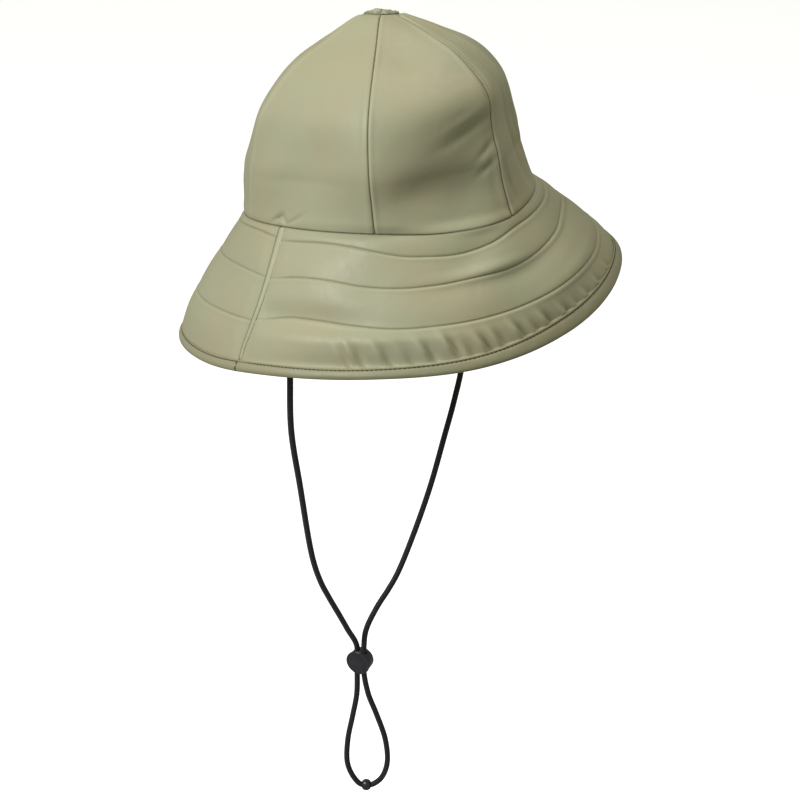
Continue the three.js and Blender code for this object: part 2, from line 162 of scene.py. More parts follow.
def lengths_along(places: Array, axis: int = 0) -> Array:
    """Length of the way from the first place on.

    Args:
        places: A row or a grid of places.
        axis: Axis of the grid along which the way runs.

    Returns:
        The length at each place.
    """
    steps = np.linalg.norm(np.diff(places, axis=axis), axis=-1)
    return np.insert(np.cumsum(steps, axis=axis), 0, 0.0, axis=axis)


# The hat's form


@dataclass(frozen=True)
class Hollow:
    """One soft hollow of the cloth; a negative depth swells out.

    The place is a turn and a share up the crown or down the brim, the half sizes are
    degrees and shares, and lean moves the hollow by degrees for each share.
    """

    turn: float
    share: float
    wide: float
    tall: float
    deep: float
    lean: float = 0.0

    def depth(self, turn: Array, share: Array) -> Array:
        """Depth at some places, in metres.

        Args:
            turn: Turns of the places.
            share: Shares of the places.

        Returns:
            One depth for each place.
        """
        level = share - self.share
        away = np.mod(turn - self.turn - self.lean * level + 180.0, 360.0) - 180.0
        return self.deep * np.exp(-((away / self.wide) ** 2) - (level / self.tall) ** 2)


@dataclass(frozen=True)
class HatForm:
    """Main surfaces of the hat in its worn pose, with the sizes of the solid model."""

    head_length: float = 0.200
    head_width: float = 0.172
    head_squareness: float = 2.15
    crown_height: float = 0.1215
    brim_length: float = 0.092
    back_tilt: float = 10.5
    crown_thick: float = 0.0014
    brim_thick: float = 0.0022
    gap: float = 0.0003
    tip_to_left: float = 0.008
    tip_to_front: float = 0.0114
    bow_to_right: float = 0.0032
    bow_to_front: float = 0.0078
    panel_flatness: tuple[float, ...] = (0.42, 0.60, 0.45, 0.45, 0.45, 0.62)
    flat_from: float = 0.25
    side_seam_turn: float = 99.4
    side_seam_bow: float = 2.0
    patch_start: float = 0.979
    tip_tilt: float = 0.0017
    tip_turn: float = 105.0
    panel_seams: tuple[float, ...] = (-3.0, 57.5, 122.0, 180.0, 238.0, 302.5)
    profile_heights: tuple[float, ...] = (0, 0.12, 0.26, 0.40, 0.54, 0.68, 0.80, 0.89, 0.96, 1)
    profile_sizes: tuple[float, ...] = (
        1.000, 0.990, 0.983, 0.943, 0.888, 0.766, 0.608, 0.394, 0.189, 0.041,
    )
    rise: tuple[float, ...] = (
        -0.0380, -0.0235, 0.0070, 0.0190, 0.0155, -0.0005,
        -0.0040, 0.0010, 0.0085, 0.0125, 0.0075, -0.0095,
    )
    length: tuple[float, ...] = (
        0.88, 0.94, 0.99, 1.03, 1.07, 1.10, 1.08, 1.04, 1.01, 0.98, 0.95, 0.89,
    )
    fall: tuple[float, ...] = (
        61.5, 62.0, 59.0, 57.0, 58.5, 53.2, 51.7, 52.8, 53.0, 49.8, 46.1, 56.0,
    )
    belly: tuple[float, ...] = (
        0.028, 0.028, 0.028, 0.028, 0.017, 0.009, 0.014, 0.020, 0.026, 0.028, 0.032, 0.032,
    )
    tape: tuple[float, ...] = (
        0.862, 0.900, 0.926, 0.922, 0.925, 0.928, 0.928, 0.925, 0.922, 0.916, 0.896, 0.868,
    )

    def around(self, values: tuple[float, ...], turn: Array) -> Array:
        """Smooth value of a table that repeats round the hat every full turn.

        Args:
            values: The table's rows, the first one at turn 0.
            turn: Turns to read.

        Returns:
            One value for each turn.
        """
        table = np.asarray(values)
        count = len(table)
        place = np.mod(turn, 360.0) * count / 360.0
        start = np.floor(place).astype(int)
        part = place - start
        before, here, after, last = (table[(start + step) % count] for step in (-1, 0, 1, 2))
        slope = after - before
        curve = 2 * before - 5 * here + 4 * after - last
        twist = 3 * here - before - 3 * after + last
        return 0.5 * (2 * here + slope * part + curve * part**2 + twist * part**3)

    def profile(self, height: Array) -> Array:
        """Share of the opening's size that the crown has at a share of its height.

        Args:
            height: Shares of the height.

        Returns:
            One share for each height.
        """
        x, y = np.asarray(self.profile_heights, float), np.asarray(self.profile_sizes)
        run = np.diff(x)
        steep = np.diff(y) / run
        weight = [2 * run[1:] + run[:-1], run[1:] + 2 * run[:-1]]
        inner = (weight[0] + weight[1]) / (weight[0] / steep[:-1] + weight[1] / steep[1:])
        slope = np.concatenate([[steep[0]], inner, [steep[-1]]])
        low = np.clip(np.searchsorted(x, height, side="right") - 1, 0, len(x) - 2)
        part = (height - x[low]) / run[low]
        slopes = (run[low] * slope[low], run[low] * slope[low + 1])
        return bridge((y[low], y[low + 1]), slopes, part)

    def worn(self, points: Array) -> Array:
        """Leans points from the opening's plane into the worn pose.

        Args:
            points: Places before the lean.

        Returns:
            The leaned places.
        """
        angle = math.radians(-self.back_tilt)
        x, y, z = points[..., 0], points[..., 1], points[..., 2]
        cosine, sine = math.cos(angle), math.sin(angle)
        return np.stack([x, y * cosine - z * sine, y * sine + z * cosine], axis=-1)

    def root(self, turn: Array) -> Array:
        """Root seam, where the crown meets the brim, before the lean.

        Args:
            turn: Turns to place.

        Returns:
            One place for each turn.
        """
        sine, cosine = np.sin(np.radians(turn)), np.cos(np.radians(turn))
        power = self.head_squareness
        reach = (np.abs(cosine) ** power + np.abs(sine) ** power) ** (-1.0 / power)
        return np.stack(
            [
                -self.head_width / 2 * reach * sine,
                -self.head_length / 2 * reach * cosine,
                self.head_length * self.around(self.rise, turn),
            ],
            axis=-1,
        )

    def outward(self, turn: Array) -> Array:
        """Level direction straight out from the root seam.

        Args:
            turn: Turns to read.

        Returns:
            One direction for each turn.
        """
        sine, cosine = np.sin(np.radians(turn)), np.cos(np.radians(turn))
        way = [-sine / self.head_width, -cosine / self.head_length, np.zeros_like(sine)]
        return unit(np.stack(way, axis=-1))

    def flatness(self, turn: Array, height: Array) -> Array:
        """How far a panel's flat middle lies inside the round, as a share of the size.

        Args:
            turn: Turns to read.
            height: Shares of the height.

        Returns:
            Factor on the crown's size at each place.
        """
        first = self.panel_seams[0]
        wrapped = np.mod(turn - first, 360.0) + first
        ends = np.asarray([*self.panel_seams, first + 360.0])
        panel = np.clip(np.searchsorted(ends, wrapped, side="right") - 1, 0, 5)
        across = (wrapped - ends[panel]) / (ends[panel + 1] - ends[panel]) * 2.0 - 1.0
        flat = 1.0 - math.cos(math.radians(30)) / np.cos(np.radians(30 * across))
        much = np.asarray(self.panel_flatness)[panel]
        return 1.0 - much * flat * np.minimum(1.0, height / self.flat_from)

    def crown(self, turn: Array, height: Array, plain: bool = False) -> Array:
        """Outside of the crown; plain gives the round form without panels.

        Args:
            turn: Turns to place.
            height: Shares of the height.
            plain: Whether the panels' flat middles are left out.

        Returns:
            One place for each pair.
        """
        root = self.root(turn)
        size = self.profile(height)
        if not plain:
            size = size * self.flatness(turn, height)
        lean, bow = height**2, height * (1.0 - height)
        points = np.stack(
            [
                root[..., 0] * size + self.tip_to_left * lean - self.bow_to_right * bow,
                root[..., 1] * size - self.tip_to_front * lean - self.bow_to_front * bow,
                root[..., 2] * (1.0 - height) ** 2 + self.crown_height * height,
            ],
            axis=-1,
        )
        return self.worn(points)

    def crown_out(self, turn: Array, height: Array) -> Array:
        """Direction straight out of the crown's round form.

        Args:
            turn: Turns to read.
            height: Shares of the height.

        Returns:
            One direction for each place.
        """
        low = np.clip(height - 0.01, 0.0, 0.985)
        along = self.crown(turn + 0.6, height, True) - self.crown(turn - 0.6, height, True)
        up = self.crown(turn, low + 0.015, True) - self.crown(turn, low, True)
        return unit(np.cross(up, along))

    def tip_offset(self, turn: Array) -> Array:
        """Offset outwards of the cloth round the tip, which is tilted."""
        return self.tip_tilt * np.cos(np.radians(turn - self.tip_turn))

    def settled(self, turn: Array, share: Array) -> Array:
        """Turns on the brim, moved by the bow of the two side seams towards the front.

        Args:
            turn: Turns before the bow.
            share: Shares of the way out.

        Returns:
            The moved turns.
        """
        bow = self.side_seam_bow * np.sin(np.pi * np.clip(share / 0.85, 0.0, 1.0))
        seam = self.side_seam_turn
        left = hump(turn, -seam, 9.0) + hump(turn, 360.0 - seam, 9.0)
        return turn - bow * (hump(turn, seam, 9.0) - left)

    def brim_size(self, turn: Array) -> Array:
        """Length of the brim from its root to its edge."""
        return self.brim_length * self.around(self.length, turn)

    def tape_start(self, turn: Array) -> Array:
        """Share of the way out at which the edge tape starts."""
        return self.around(self.tape, turn)

    def brim(self, turn: Array, share: Array) -> Array:
        """Top side of the brim, from its root (0) to its edge (1).

        Args:
            turn: Turns to place.
            share: Shares of the way out.

        Returns:
            One place for each pair.
        """
        fall = np.radians(self.around(self.fall, turn))
        length = self.brim_size(turn)
        belly = 4 * share * (1 - share) * self.brim_length * self.around(self.belly, turn)
        out = share * length * np.cos(fall) + belly * np.sin(fall)
        down = share * length * np.sin(fall) - belly * np.cos(fall)
        points = self.root(turn) + self.outward(turn) * out[..., None]
        points[..., 2] -= down
        return self.worn(points)

    def brim_out(self, turn: Array, share: Array) -> Array:
        """Direction straight out of the brim's top side.

        Args:
            turn: Turns to read.
            share: Shares of the way out.

        Returns:
            One direction for each place.
        """
        along = self.brim(turn + 0.6, share) - self.brim(turn - 0.6, share)
        down = self.brim(turn, share + 0.01) - self.brim(turn, share - 0.01)
        return unit(np.cross(along, down))


# Finishes


def linear(code: str) -> tuple[float, float, float, float]:
    """Linear colour of an sRGB hex value such as A9A886.

    Args:
        code: Six hex digits.

    Returns:
        Red, green, blue and alpha.
    """
    parts = [int(code[index : index + 2], 16) / 255.0 for index in (0, 2, 4)]
    bright = [p / 12.92 if p <= 0.04045 else ((p + 0.055) / 1.055) ** 2.4 for p in parts]
    return (*bright, 1.0)


def fill_inputs(tree: bpy.types.NodeTree, node: bpy.types.Node, inputs: dict) -> None:
    """Sets or links the inputs of a node.

    Args:
        tree: Node tree of the node.
        node: The node.
        inputs: Values or linked sockets, by the input's name or number.
    """
    for key, value in inputs.items():
        if isinstance(value, bpy.types.NodeSocket):
            tree.links.new(value, node.inputs[key])
        else:
            node.inputs[key].default_value = value


def add_node(
    tree: bpy.types.NodeTree, kind: str, inputs: dict | None = None, **settings: object
) -> bpy.types.Node:
    """Adds one node with its settings and links.

    Args:
        tree: Node tree that gets the node.
        kind: Type name of the node.
        inputs: Values or linked sockets, by the input's name or number.
        settings: Attributes of the node.

    Returns:
        The new node.
    """
    node = tree.nodes.new(kind)
    for name, value in settings.items():
        setattr(node, name, value)
    fill_inputs(tree, node, inputs or {})
    return node


def noise(
    tree: bpy.types.NodeTree, place: bpy.types.NodeSocket, size: float, detail: float, **more: float
) -> bpy.types.NodeSocket:
    """Cloudy noise over some places.

    Args:
        tree: Node tree that gets the node.
        place: Socket of the places.
        size: Size of the clouds.
        detail: Number of finer layers.
        more: Further inputs by name.

    Returns:
        Socket of the noise.
    """
    inputs = {"Vector": place, "Scale": 1 / size, "Detail": detail, **more}
    return add_node(tree, "ShaderNodeTexNoise", inputs).outputs[0]


def bump(
    tree: bpy.types.NodeTree, height: bpy.types.NodeSocket, strength: float, deep: float,
    under: bpy.types.NodeSocket | None = None,
) -> bpy.types.NodeSocket:
    """Fine relief that only the light sees.

    Args:
        tree: Node tree that gets the node.
        height: Socket of the relief's height.
        strength: Share of the relief that shows.
        deep: Depth of the relief.
        under: Socket of a coarser relief that it lies on.

    Returns:
        Socket of the changed normal.
    """
    inputs = {"Height": height, "Strength": strength, "Distance": deep}
    if under:
        inputs["Normal"] = under
    return add_node(tree, "ShaderNodeBump", inputs).outputs[0]


def mark(tree: bpy.types.NodeTree, name: str) -> bpy.types.NodeSocket:
    """Socket of one of the marks that the cloth's mesh carries."""
    return add_node(tree, "ShaderNodeAttribute", attribute_name=name).outputs["Fac"]


def mix_colours(
    tree: bpy.types.NodeTree,
    share: bpy.types.NodeSocket,
    first: bpy.types.NodeSocket | tuple[float, ...],
    second: bpy.types.NodeSocket | tuple[float, ...],
) -> bpy.types.NodeSocket:
    """Colour that goes from the first to the second with a share.

    Args:
        tree: Node tree that gets the node.
        share: Share of the second colour.
        first: First colour or its socket.
        second: Second colour or its socket.

    Returns:
        Socket of the mixed colour.
    """
    inputs = {0: share, 6: first, 7: second}
    return add_node(tree, "ShaderNodeMix", inputs, data_type="RGBA").outputs[2]


def ranged(
    tree: bpy.types.NodeTree,
    value: bpy.types.NodeSocket,
    old: tuple[float, float],
    new: tuple[float, float],
) -> bpy.types.NodeSocket:
    """Value moved from an old range to a new one, and kept inside it.

    Args:
        tree: Node tree that gets the node.
        value: Socket of the value.
        old: Low and high end of the old range.
        new: Low and high end of the new range.

    Returns:
        Socket of the moved value.
    """
    inputs = {0: value, 1: old[0], 2: old[1], 3: new[0], 4: new[1]}
    return add_node(tree, "ShaderNodeMapRange", inputs).outputs[0]


def start_material(name: str) -> tuple[bpy.types.Material, bpy.types.Node]:
    """New material with one surface shader.

    Args:
        name: Name of the material.

    Returns:
        The material and its Principled shader.
    """
    material = bpy.data.materials.new(name)
    material.use_nodes = True
    material.node_tree.nodes.clear()
    surface = add_node(material.node_tree, "ShaderNodeBsdfPrincipled")
    add_node(material.node_tree, "ShaderNodeOutputMaterial", {0: surface.outputs[0]})
    return material, surface


@dataclass(frozen=True)
class CoatedCloth:
    """Polyester cloth with a matt polyurethane coat, pressed smooth between rollers.

    The coat hides most of the weave and gives a broad, dull gleam. Its colour clouds
    slightly; it is painted darker down in the seams (dirt and painted shade) and paler on ridges
    (wear and painted highlight).
    """

    name: str = "pu_coated_polyester"
    base: str = "A8A687"
    warm: str = "AAA584"
    cool: str = "A5A788"
    # dark olive painted down in seams, grooves and creases: dirt and painted shade
    deep: str = "3A3512"
    # pale colour painted on ridges and worn places: wear and painted highlight
    worn: str = "BBBA9C"
    roughness: float = 0.50
    cloud: float = 0.055
    fleck: float = 0.0045
    grain: float = 0.0007
    crease: float = 0.017

    def make(self) -> bpy.types.Material:
        """Builds the cloth's material and returns it.

        Returns:
            The finished material.
        """
        material, surface = start_material(self.name)
        tree = material.node_tree
        place = add_node(tree, "ShaderNodeTexCoord").outputs["Object"]
        cloud = noise(tree, place, self.cloud, 3.0)
        fleck = noise(tree, place, self.fleck, 5.0)
        tone = mix_colours(
            tree, ranged(tree, cloud, (0.38, 0.62), (0.0, 1.0)), linear(self.cool), linear(self.warm)
        )
        tone = mix_colours(tree, ranged(tree, fleck, (0.3, 0.7), (0.0, 0.5)), tone, linear(self.base))
        # the groove mark paints the colour darker in seams and grooves: dirt and painted shade
        groove, wear_and_highlight = mark(tree, "groove"), mark(tree, "wear_and_highlight")
        painted_groove_shade = ranged(tree, groove, (0.0, 1.0), (0.0, 0.9))
        tone = mix_colours(tree, painted_groove_shade, tone, linear(self.deep))
        # ridges and worn places are painted paler: wear and painted highlight
        wear_and_highlight_share = ranged(tree, wear_and_highlight, (0.0, 1.0), (0.0, 0.35))
        tone = mix_colours(tree, wear_and_highlight_share, tone, linear(self.worn))
        gloss = ranged(tree, fleck, (0.3, 0.7), (self.roughness - 0.05, self.roughness + 0.06))
        # the cloth's fine grain is 0.35 mm, drawn at 0.7 mm so that it shows
        grain = noise(tree, place, self.grain, 2.0)
        crease = noise(tree, place, self.crease, 2.5, Distortion=0.6)
        soft = bump(tree, crease, 0.35, 0.0011)
        fine = bump(tree, grain, 0.25, 0.0001, soft)
        looks = {"Base Color": tone, "Roughness": gloss, "Normal": fine, "IOR": 1.48}
        fill_inputs(tree, surface, {**looks, "Sheen Weight": 0.06, "Sheen Roughness": 0.45})
        return material


@dataclass(frozen=True)
class KnitBacking:
    """Brushed knit backing of the coated cloth: matt, with fine ribs, taped at seams.

    The tape that seals each seam is a smooth, slightly glossier band of film.
    """

    name: str = "knit_backing"
    base: str = "97957B"
    dark: str = "7E7C64"
    film: str = "A5A38A"
    rib: float = 0.0016
    fluff: float = 0.0011

    def make(self) -> bpy.types.Material:
        """Builds the backing's material and returns it.

        Returns:
            The finished material.
        """
        material, surface = start_material(self.name)
        tree = material.node_tree
        place = add_node(tree, "ShaderNodeTexCoord").outputs["Object"]
        cloth = add_node(tree, "ShaderNodeUVMap", uv_map="cloth").outputs[0]
        # real ribs are 0.8 mm apart, drawn at 1.6 mm so that they show
        ribs = add_node(
            tree,
            "ShaderNodeTexWave",
            {"Vector": cloth, "Scale": 0.314 / self.rib, "Distortion": 1.2, "Detail": 2.0},
        ).outputs[1]
        fluff = noise(tree, place, self.fluff, 4.0)
        tone = mix_colours(
            tree, ranged(tree, ribs, (0.0, 1.0), (0.25, 1.0)), linear(self.dark), linear(self.base)
        )
        tone = mix_colours(
            tree, ranged(tree, fluff, (0.35, 0.7), (0.0, 0.5)), tone, linear(self.dark)
        )
        film = mark(tree, "film")
        tone = mix_colours(tree, ranged(tree, film, (0.0, 1.0), (0.0, 0.8)), tone, linear(self.film))
        ribbed = bump(tree, ribs, 0.5, 0.0002)
        fluffy = bump(tree, fluff, 0.4, 0.0002, ribbed)
        gloss = ranged(tree, film, (0.0, 1.0), (0.92, 0.45))
        looks = {"Base Color": tone, "Roughness": gloss, "Normal": fluffy, "IOR": 1.45}
        fill_inputs(tree, surface, {**looks, "Sheen Weight": 0.2})
        return material


@dataclass(frozen=True)
class SpunThread:
    """Spun polyester sewing thread: two plies twisted, faintly glossy on the ridges."""

    name: str
    base: str
    dark: str
    twist: float = 0.0007

    def make(self) -> bpy.types.Material:
        """Builds the thread's material and returns it.

        Returns:
            The finished material.
        """
        material, surface = start_material(self.name)
        tree = material.node_tree
        place = add_node(tree, "ShaderNodeTexCoord").outputs["Object"]
        plies = add_node(
            tree,
            "ShaderNodeTexWave",
            {"Vector": place, "Scale": 0.314 / self.twist, "Distortion": 2.0},
            bands_direction="DIAGONAL",
        ).outputs[1]
        tone = mix_colours(
            tree, ranged(tree, plies, (0.0, 1.0), (0.1, 0.9)), linear(self.dark), linear(self.base)
        )
        looks = {"Base Color": tone, "Normal": bump(tree, plies, 0.5, 0.0001)}
        fill_inputs(tree, surface, {**looks, "Roughness": 0.62, "IOR": 1.5})
        return material


@dataclass(frozen=True)
class BraidedCover:
    """Braided polyester cover of an elastic cord: crossed strands, soft and dull."""

    name: str = "braided_elastic_cover"
    base: str = "212229"
    dark: str = "111217"
    strand: float = 0.0011
    slant: float = 35.0

    def make(self) -> bpy.types.Material:
        """Builds the cord's material and returns it.

        Returns:
            The finished material.
        """
        material, surface = start_material(self.name)
        tree = material.node_tree
        along = add_node(tree, "ShaderNodeUVMap", uv_map="cloth").outputs[0]
        waves = []
        for side in (-1.0, 1.0):
            turned = add_node(
                tree,
                "ShaderNodeMapping",
                {"Vector": along, "Rotation": (0.0, 0.0, math.radians(self.slant * side))},
            ).outputs[0]
            wave = add_node(
                tree, "ShaderNodeTexWave", {"Vector": turned, "Scale": 0.314 / self.strand}
            )
            waves.append(wave.outputs[1])
        braid = add_node(
            tree, "ShaderNodeMath", {0: waves[0], 1: waves[1]}, operation="MULTIPLY"
        ).outputs[0]
        tone = mix_colours(
            tree, ranged(tree, braid, (0.0, 0.6), (0.0, 1.0)), linear(self.dark), linear(self.base)
        )
        looks = {"Base Color": tone, "Normal": bump(tree, braid, 0.5, 0.0002)}
        fill_inputs(tree, surface, {**looks, "Roughness": 0.72, "IOR": 1.5, "Sheen Weight": 0.15})
        return material


@dataclass(frozen=True)
class MouldedAcetal:
    """Injection moulded acetal: near black, satin, with a fine spark eroded grain."""

    name: str = "moulded_acetal"
    base: str = "27262D"
    pale: str = "34333B"
    grit: float = 0.0004
    flow: float = 0.005
    roughness: float = 0.27

    def make(self) -> bpy.types.Material:
        """Builds the plastic's material and returns it.

        Returns:
            The finished material.
        """
        material, surface = start_material(self.name)
        tree = material.node_tree
        place = add_node(tree, "ShaderNodeTexCoord").outputs["Object"]
        grit = noise(tree, place, self.grit, 3.0)
        flow = noise(tree, place, self.flow, 2.0)
        tone = mix_colours(
            tree, ranged(tree, flow, (0.35, 0.7), (0.0, 0.7)), linear(self.base), linear(self.pale)
        )
        grain = bump(tree, grit, 0.2, 0.00008)
        gloss = ranged(tree, grit, (0.3, 0.7), (self.roughness - 0.05, self.roughness + 0.1))
        looks = {"Base Color": tone, "Roughness": gloss, "Normal": grain, "IOR": 1.48}
        # the moulding skin is smoother than the body under it
        fill_inputs(tree, surface, {**looks, "Coat Weight": 0.5, "Coat Roughness": 0.2})
        return material


@dataclass(frozen=True)
class PaperSweep:
    """Matt white background paper: flat and slightly fibrous."""

    name: str = "background_paper"
    base: str = "FAFAFA"
    glow: float = 0.66

    def make(self) -> bpy.types.Material:
        """Builds the paper's material and returns it.

        Returns:
            The finished material.
        """
        material, surface = start_material(self.name)
        tree = material.node_tree
        place = add_node(tree, "ShaderNodeTexCoord").outputs["Object"]
        fibre = add_node(
            tree, "ShaderNodeTexNoise", {"Vector": place, "Scale": 90.0, "Detail": 3.0}
        ).outputs[0]
        tone = mix_colours(
            tree, ranged(tree, fibre, (0.3, 0.7), (0.0, 1.0)), linear(self.base), linear("F8F8F7")
        )
        looks = {"Base Color": tone, "Roughness": 0.95, "Specular IOR Level": 0.1}
        light = {"Emission Color": linear(self.base), "Emission Strength": self.glow}
        fill_inputs(tree, surface, {**looks, **light})
        return material


class Thread(Enum):
    """Sewing threads on the hat."""

    EDGE = SpunThread("olive_edge_thread", "4E471A", "342D0C")
    TONE = SpunThread("tonal_thread", "9B9978", "87855F")


@dataclass
class Wardrobe:
    """All finishes of the hat, each made once."""

    cloth: bpy.types.Material = field(default_factory=lambda: CoatedCloth().make())
    tape: bpy.types.Material = field(
        default_factory=lambda: CoatedCloth(
            name="pu_coated_edge_tape",
            base="989676",
            warm="999576",
            cool="969678",
            roughness=0.52,
            crease=0.012,
        ).make()
    )
    # the patch's cloth is darker and greyer than the crown's: partly its own tone, partly painted
    # shade of the gathers
    patch: bpy.types.Material = field(
        default_factory=lambda: CoatedCloth(
            name="gathered_coated_cloth",
            base="777960",
            warm="62624B",
            cool="8A8D76",
            worn="BEC0AC",
            roughness=0.6,
            cloud=0.004,
            crease=0.0035,
        ).make()
    )
    backing: bpy.types.Material = field(default_factory=lambda: KnitBacking().make())
    edge_thread: bpy.types.Material = field(default_factory=lambda: Thread.EDGE.value.make())
    tone_thread: bpy.types.Material = field(default_factory=lambda: Thread.TONE.value.make())
    braid: bpy.types.Material = field(default_factory=lambda: BraidedCover().make())
    plastic: bpy.types.Material = field(default_factory=lambda: MouldedAcetal().make())


# Meshes


def deselect() -> None:
    """Leaves object mode with nothing selected."""
    if bpy.context.object and bpy.context.object.mode != "OBJECT":
        bpy.ops.object.mode_set(mode="OBJECT")
    bpy.ops.object.select_all(action="DESELECT")


def pick(piece: bpy.types.Object) -> None:
    """Leaves object mode with one piece selected and active.

    Args:
        piece: The piece.
    """
    deselect()
    piece.select_set(True)
    bpy.context.view_layer.objects.active = piece


def apply_modifier(piece: bpy.types.Object, kind: str, **settings: object) -> None:
    """Adds one modifier to a piece and applies it.

    Args:
        piece: The piece.
        kind: Type name of the modifier.
        settings: Attributes of the modifier.
    """
    modifier = piece.modifiers.new(kind.lower(), kind)
    for name, value in settings.items():
        setattr(modifier, name, value)
    bpy.context.view_layer.objects.active = piece
    bpy.ops.object.modifier_apply(modifier=modifier.name)


def soften(piece: bpy.types.Object, width: float, segments: int, bend: float) -> None:
    """Rounds the edges of a moulded piece.

    Args:
        piece: The piece.
        width: Width of the rounding.
        segments: Number of faces across it.
        bend: Smallest bend, in degrees, of an edge that is rounded.
    """
    angle = math.radians(bend)
    settings = {"width": width, "segments": segments, "angle_limit": angle}
    apply_modifier(piece, "BEVEL", limit_method="ANGLE", **settings)


def drill(
    piece: bpy.types.Object,
    radius: float,
    depth: float,
    place: tuple[float, float, float] = (0.0, 0.0, 0.0),
    heading: float = 0.0,
) -> None:
    """Cuts one level round bore through a piece.

    Args:
        piece: The piece, which is selected and active afterwards.
        radius: Radius of the bore.
        depth: Length of the bore.
        place: Middle of the bore.
        heading: Turn of the bore from the X axis, in radians.
    """
    bpy.ops.mesh.primitive_cylinder_add(
        vertices=24, radius=radius, depth=depth, location=place,
        rotation=(0.0, math.pi / 2, heading),
    )
    cutter = bpy.context.object
    apply_modifier(piece, "BOOLEAN", object=cutter, operation="DIFFERENCE", solver="EXACT")
    bpy.data.objects.remove(cutter)
    pick(piece)


def finish_piece(
    piece: bpy.types.Object, name: str, nodes: tuple[str, ...] = ()
) -> bpy.types.Object:
    """Names a piece, ties it to the hat and says which nodes it stands for.

    Args:
        piece: The piece.
        name: Its name.
        nodes: Nodes of the frame that it stands for.

    Returns:
        The same piece.
    """
    piece.name = name
    piece.data.name = name
    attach(piece, "root")
    if nodes:
        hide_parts(*nodes)
    faces = len(piece.data.polygons)
    log.info("%s: %d faces, stands for %s", name, faces, ", ".join(nodes) or "no node")
    return piece


@dataclass
class ClothSheet:
    """One sewn sheet of cloth, laid out as rows and columns of places.

    points are its outer face, cloth its flat coordinates in metres, and marks are
    shares from 0 to 1 at each place, such as how deep it lies in a seam.
    """

    points: Array
    cloth: Array
    marks: dict[str, Array]
    thick: float
    materials: tuple[bpy.types.Material, ...]
    closed: bool = False

    def build(self) -> bpy.types.Object:
        """Shapes a subdivided sheet into the cloth, gives it its thickness and dresses it.

        Returns:
            The new piece, not yet named.
        """
        rows, columns = self.points.shape[:2]
        deselect()
        bpy.ops.mesh.primitive_grid_add(
            x_subdivisions=columns - 1, y_subdivisions=rows - 1, size=1.0, location=(0, 0, 0)
        )
        piece = bpy.context.object
        mesh = piece.data
        mesh.vertices.foreach_set("co", self.points.reshape(-1).astype(np.float32))
        self.lay_cloth(mesh)
        for name, values in self.marks.items():
            mark = mesh.attributes.new(name, "FLOAT", "POINT")
            mark.data.foreach_set("value", values.reshape(-1).astype(np.float32))
        for material in self.materials:
            mesh.materials.append(material)
        mesh.update()
        if self.closed:
            bpy.ops.object.mode_set(mode="EDIT")
            bpy.ops.mesh.select_all(action="SELECT")
            bpy.ops.mesh.remove_doubles(threshold=0.00001)
            bpy.ops.object.mode_set(mode="OBJECT")
        if self.thick:
            apply_modifier(
                piece,
                "SOLIDIFY",
                thickness=self.thick,
                offset=-1.0,
                material_offset=len(self.materials) - 1,
            )
        bpy.ops.object.shade_smooth_by_angle(angle=math.radians(50))
        return piece

    def lay_cloth(self, mesh: bpy.types.Mesh) -> None:
        """Writes the flat coordinates as the mesh's own map.

        Args:
            mesh: The sheet's mesh.
        """
        layer = mesh.uv_layers[0] if mesh.uv_layers else mesh.uv_layers.new()
        layer.name = "cloth"
        corners = np.empty(len(mesh.loops), dtype=np.int32)
        mesh.loops.foreach_get("vertex_index", corners)
        flat = self.cloth.reshape(-1, 2)[corners]
        layer.data.foreach_set("uv", flat.reshape(-1).astype(np.float32))


def cloth_lengths(points: Array) -> Array:
    """Flat coordinates of a grid of places: way along its rows and down its columns.

    Args:
        points: Rows and columns of places.

    Returns:
        Two lengths in metres for each place.
    """
    across = lengths_along(points, 1)
    return np.stack([across - across[:, -1:] / 2, lengths_along(points)], axis=-1)


def sew(
    points: Array, groove: Array, wear_and_highlight: Array, thick: float,
    materials: tuple[bpy.types.Material, ...], closed: bool = False,
) -> bpy.types.Object:
    """Builds a sheet of cloth that has no sealing film.

    Args:
        points: Rows and columns of places on its outer face.
        groove: How deep each place lies in a seam or groove, from 0 to 1; the colour is painted
            darker there, as dirt and painted shade.
        wear_and_highlight: How pale each place is painted, from 0 to 1: wear, and painted highlight
            on ridges.
        thick: Thickness of the cloth.
        materials: Finish of its face and, where there are two, of its back.
        closed: Whether the sheet meets itself.

    Returns:
        The new piece, not yet named.
    """
    marks = {"groove": groove, "wear_and_highlight": wear_and_highlight, "film": np.zeros_like(groove)}
    return ClothSheet(points, cloth_lengths(points), marks, thick, materials, closed).build()


SEAM_STEPS = tuple(step * MM for step in (0, 0.3, 0.6, 0.95, 1.35, 1.8, 2.4, 3.1, 4, 5, 6.2, 7.6))


